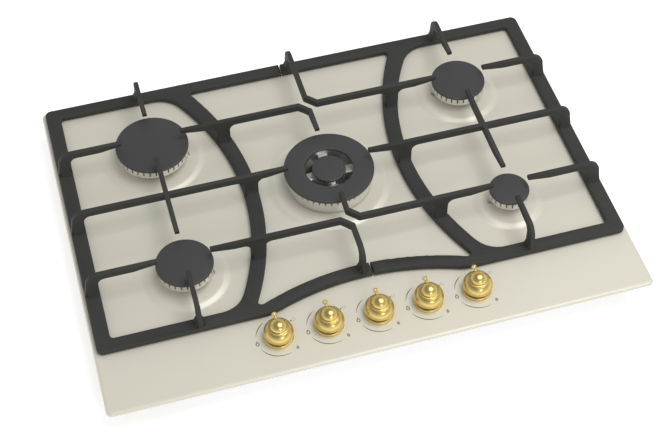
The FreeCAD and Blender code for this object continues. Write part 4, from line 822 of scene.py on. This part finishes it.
class HOB_OT_sparkers(bpy.types.Operator):
    """Dresses the screws, spark electrodes, thermocouples and injectors"""
    bl_idname = "hob.sparkers"
    bl_label = "Screws and sparkers"

    def execute(self, context):
        for node, name in (("burner_screws", "cup_screws"), ("spark_electrodes", "electrodes"),
                           ("thermocouples", "probes"), ("injectors", "jets")):
            dressed_copy(node, name, 0.2 * MM)
        return {"FINISHED"}


# --- Knobs --------------------------------------------------------------------------------------
class HOB_OT_bezels(bpy.types.Operator):
    """Turns the brass ring under each knob"""
    bl_idname = "hob.bezels"
    bl_label = "Knob bezels"

    foot = [(12.5, 0), (18.8, 0)]
    edge = ((18.8, 1.7), (18.2, 3.2), (16.7, 3.8))
    dish = [(13.9, 3.7), (13.1, 3.4), (12.7, 2.8), (12.5, 2.0)]

    def execute(self, context):
        bm = bmesh.new()
        spots = [middle_of("spindle_%d" % number) for number in KNOBS]
        profile = self.foot + arc(*self.edge, 8) + self.dish
        for spot in spots:
            turned(bm, profile, spot, context.scene.hob_sizes.round_steps)
        tidy(bm)
        new_piece(bm, "brass_bezels", "knob_bezels",
                  lambda co: min(spots, key=lambda spot: (co - spot).xy.length))
        return {"FINISHED"}


class HOB_OT_knobs(bpy.types.Operator):
    """Turns the brass knobs with bell, bead, dome and pointer peg"""
    bl_idname = "hob.knobs"
    bl_label = "Knobs"

    crown = ((0.0, 31.5), (5.34, 30.36), (9.742, 27.116))
    shoulder = ((9.742, 27.116), (11.0, 23.8), (10.9, 22.8))
    bead = ((12.0, 22.8), (13.0, 21.8), (12.0, 20.8))
    bell = ((12.0, 20.8), (17.27, 16.44), (18.9, 9.8))
    lip = ((18.9, 9.8), (17.93, 7.47), (15.6, 6.5))
    hollow = [(15.2, 6.5), (15.2, 9.8), (10.8, 18.6), (7.0, 18.6), (7.0, 5.0), (4.0, 5.0), (4.0, 18.0),
              (0.0, 18.0)]
    peg_start = (0.0, 5.5, 25.3)
    peg_end = (-1.3, 15.4, 29.0)       # where the tip is widest
    peg_root_r, peg_neck_r, peg_tip_r, peg_dome = 2.1, 1.8, 3.5, 2.0

    def execute(self, context):
        steps = context.scene.hob_sizes.round_steps
        outside = (arc(*self.crown, 14) + arc(*self.shoulder, 10)[1:] + arc(*self.bead, 10)
                   + arc(*self.bell, 18)[1:] + arc(*self.lip, 8)[1:])
        for number in KNOBS:
            spot = middle_of("spindle_%d" % number)
            bm = bmesh.new()
            turned(bm, outside + self.hollow, spot, steps)
            self.peg(bm, spot)
            tidy(bm)
            new_piece(bm, "brass_knob_%d" % number, "knob_%d" % number, lambda co, c=spot: c, smooth=50.0)
            dressed_copy("spindle_%d" % number, "steel_spindle_%d" % number, 0.2 * MM)
        return {"FINISHED"}

    def peg(self, bm, spot):
        """The pointer: a slim neck out of the dome that flares to a domed tip."""
        start, end = Vector(self.peg_start), Vector(self.peg_end)
        length = (end - start).length
        dome_r = (self.peg_tip_r ** 2 + self.peg_dome ** 2) / (2 * self.peg_dome)
        half = math.asin(self.peg_tip_r / dome_r) / 2
        on_dome = (dome_r * math.sin(half), length + self.peg_dome - dome_r * (1 - math.cos(half)))
        root, tip = (self.peg_root_r, 0), (self.peg_tip_r, length)
        shape = [(0, 0)] + arc(root, (self.peg_neck_r, length / 2), tip, 12)
        shape += arc(tip, on_dome, (0, length + self.peg_dome), 8)[1:]
        before = set(bm.verts)
        verts = [bm.verts.new((r * MM, 0, z * MM)) for r, z in shape]
        edges = [bm.edges.new(pair) for pair in zip(verts, verts[1:])]
        bmesh.ops.spin(bm, geom=verts + edges, cent=(0, 0, 0), axis=(0, 0, 1), angle=FULL_TURN, steps=32,
                       use_merge=True)
        made = [v for v in bm.verts if v not in before]
        turn = Vector((0, 0, 1)).rotation_difference(end - start).to_matrix()
        bmesh.ops.rotate(bm, cent=(0, 0, 0), matrix=turn, verts=made)
        bmesh.ops.translate(bm, vec=spot + Vector((0, 0, PLATE_Z)) + start * MM, verts=made)


# --- Under the plate ----------------------------------------------------------------------------
class HOB_OT_tray(bpy.types.Operator):
    """Dresses the tray and what shows on it from below"""
    bl_idname = "hob.tray"
    bl_label = "Tray"

    def execute(self, context):
        dressed_copy("bottom_tray", "steel_tray", 0.3 * MM)
        dressed_copy("tray_screws", "flange_screws", 0.3 * MM)
        dressed_copy("inlet_elbow", "brass_elbow", 0.4 * MM)
        dressed_copy("cable_gland", "lead_bush", 0.3 * MM)
        return {"FINISHED"}


# --- Stage --------------------------------------------------------------------------------------
def aimed(obj, place, target):
    """Puts a lamp at a place and points it at the target."""
    obj.location = place
    obj.rotation_euler = (Vector(target) - Vector(place)).to_track_quat("-Z", "Y").to_euler()


def seen_plainly(tree):
    """1 for camera, glossy and transmission rays, 0 for the rest."""
    path = add(tree, "ShaderNodeLightPath")
    total = add(tree, "ShaderNodeMath", {0: path.outputs["Is Camera Ray"], 1: path.outputs["Is Glossy Ray"]},
                operation="ADD")
    total = add(tree, "ShaderNodeMath", {0: total.outputs[0], 1: path.outputs["Is Transmission Ray"]},
                operation="ADD", use_clamp=True)
    return total.outputs[0]


class HOB_OT_stage(bpy.types.Operator):
    """Sets up the pale floor, the soft lights, the white background and the camera"""
    bl_idname = "hob.stage"
    bl_label = "Stage"

    camera_place = (-0.3253, -1.1311, 1.4926)
    camera_right = (0.9610, -0.2765, 0.0)
    camera_up = (0.2178, 0.7569, 0.6162)
    camera_way = (0.1704, 0.5922, -0.7876)
    camera_lens = 75.886
    key_place, key_size = (1.0, -0.3, 3.2), 2.2
    front_place, front_size = (0.4, -2.2, 1.7), 0.7
    floor_gap = 0.3 * MM
    floor_glow = 0.55                  # added where a camera or a gloss sees the floor

    def execute(self, context):
        stage = context.scene.hob_stage
        self.world(context, stage.sky)
        self.floor(stage.floor)
        self.lamp("key_lamp", self.key_place, (0, 0, 0), self.key_size, stage.key)
        self.lamp("front_lamp", self.front_place, (0, -0.1, 0), self.front_size, stage.front)
        camera = bpy.data.objects.new("camera", bpy.data.cameras.new("camera"))
        context.scene.collection.objects.link(camera)
        camera.data.lens = self.camera_lens
        camera.data.sensor_width = 36.0
        camera.data.sensor_fit = "HORIZONTAL"
        columns = (self.camera_right, self.camera_up, [-v for v in self.camera_way])
        turn = Matrix(columns).transposed()
        camera.matrix_world = Matrix.Translation(self.camera_place) @ turn.to_4x4()
        context.scene.camera = camera
        context.scene.view_settings.view_transform = "Standard"
        return {"FINISHED"}

    def world(self, context, strength):
        world = bpy.data.worlds.new("studio")
        context.scene.world = world
        world.use_nodes = True
        tree = world.node_tree
        even = tree.nodes["Background"]
        even.inputs["Color"].default_value = (1, 1, 1, 1)
        even.inputs["Strength"].default_value = strength
        way = add(tree, "ShaderNodeSeparateXYZ", {0: add(tree, "ShaderNodeTexCoord").outputs["Generated"]})
        fade = add(tree, "ShaderNodeMapRange", {"Value": way.outputs[2], "From Min": 0.10, "From Max": 0.75,
                                                "To Min": 1.0, "To Max": 0.18})
        white = add(tree, "ShaderNodeBackground", {"Color": (1, 1, 1, 1), "Strength": fade.outputs[0]})
        mix = add(tree, "ShaderNodeMixShader", {0: seen_plainly(tree), 1: even.outputs[0],
                                                2: white.outputs[0]})
        tree.links.new(mix.outputs[0], tree.nodes["World Output"].inputs["Surface"])

    def floor(self, colour):
        bm = bmesh.new()
        bmesh.ops.create_grid(bm, x_segments=1, y_segments=1, size=6)
        bmesh.ops.translate(bm, vec=(0, 0, CAD_BOX[0].z - self.floor_gap), verts=bm.verts)
        mesh = bpy.data.meshes.new("floor")
        bm.to_mesh(mesh)
        bm.free()
        floor = bpy.data.objects.new("floor", mesh)
        bpy.context.scene.collection.objects.link(floor)
        material = bpy.data.materials.new("floor")
        material.use_nodes = True
        tree = material.node_tree
        shader = tree.nodes["Principled BSDF"]
        shader.inputs["Base Color"].default_value = (*colour, 1)
        shader.inputs["Roughness"].default_value = 0.9
        shader.inputs["Specular IOR Level"].default_value = 0.0
        glow = add(tree, "ShaderNodeEmission", {"Color": (1, 1, 1, 1), "Strength": self.floor_glow})
        lit = add(tree, "ShaderNodeAddShader", {0: shader.outputs[0], 1: glow.outputs[0]})
        mix = add(tree, "ShaderNodeMixShader", {0: seen_plainly(tree), 1: shader.outputs[0],
                                                2: lit.outputs[0]})
        tree.links.new(mix.outputs[0], tree.nodes["Material Output"].inputs["Surface"])
        mesh.materials.append(material)

    def lamp(self, name, place, target, size, power):
        data = bpy.data.lights.new(name, "AREA")
        data.shape = "DISK"
        data.size = size
        data.energy = power
        lamp = bpy.data.objects.new(name, data)
        bpy.context.scene.collection.objects.link(lamp)
        aimed(lamp, place, target)


# --- Add-on -------------------------------------------------------------------------------------
OPERATORS = (HOB_OT_finishes, HOB_OT_plate, HOB_OT_dial_marks, HOB_OT_supports, HOB_OT_cups, HOB_OT_crowns,
             HOB_OT_caps, HOB_OT_sparkers, HOB_OT_bezels, HOB_OT_knobs, HOB_OT_tray, HOB_OT_stage)


class HOB_PT_panel(bpy.types.Panel):
    """Lists the hob's pieces in the sidebar"""
    bl_idname = "HOB_PT_panel"
    bl_label = "Gas Hob"
    bl_space_type = "VIEW_3D"
    bl_region_type = "UI"
    bl_category = "Gas Hob"

    def draw(self, context):
        for operator in OPERATORS:
            self.layout.operator(operator.bl_idname)


GROUPS = {"hob_sizes": HobSizes, "hob_colours": HobColours, "hob_stage": HobStage}


def register():
    for cls in (*GROUPS.values(), *OPERATORS, HOB_PT_panel):
        bpy.utils.register_class(cls)
    for name, group in GROUPS.items():
        setattr(bpy.types.Scene, name, PointerProperty(type=group))


def unregister():
    for name in GROUPS:
        delattr(bpy.types.Scene, name)
    for cls in reversed((*GROUPS.values(), *OPERATORS, HOB_PT_panel)):
        bpy.utils.unregister_class(cls)


def main():
    register()
    for operator in OPERATORS:
        getattr(bpy.ops.hob, operator.bl_idname.split(".")[1])()
    bpy.context.view_layer.update()


if __name__ == "__main__":
    main()
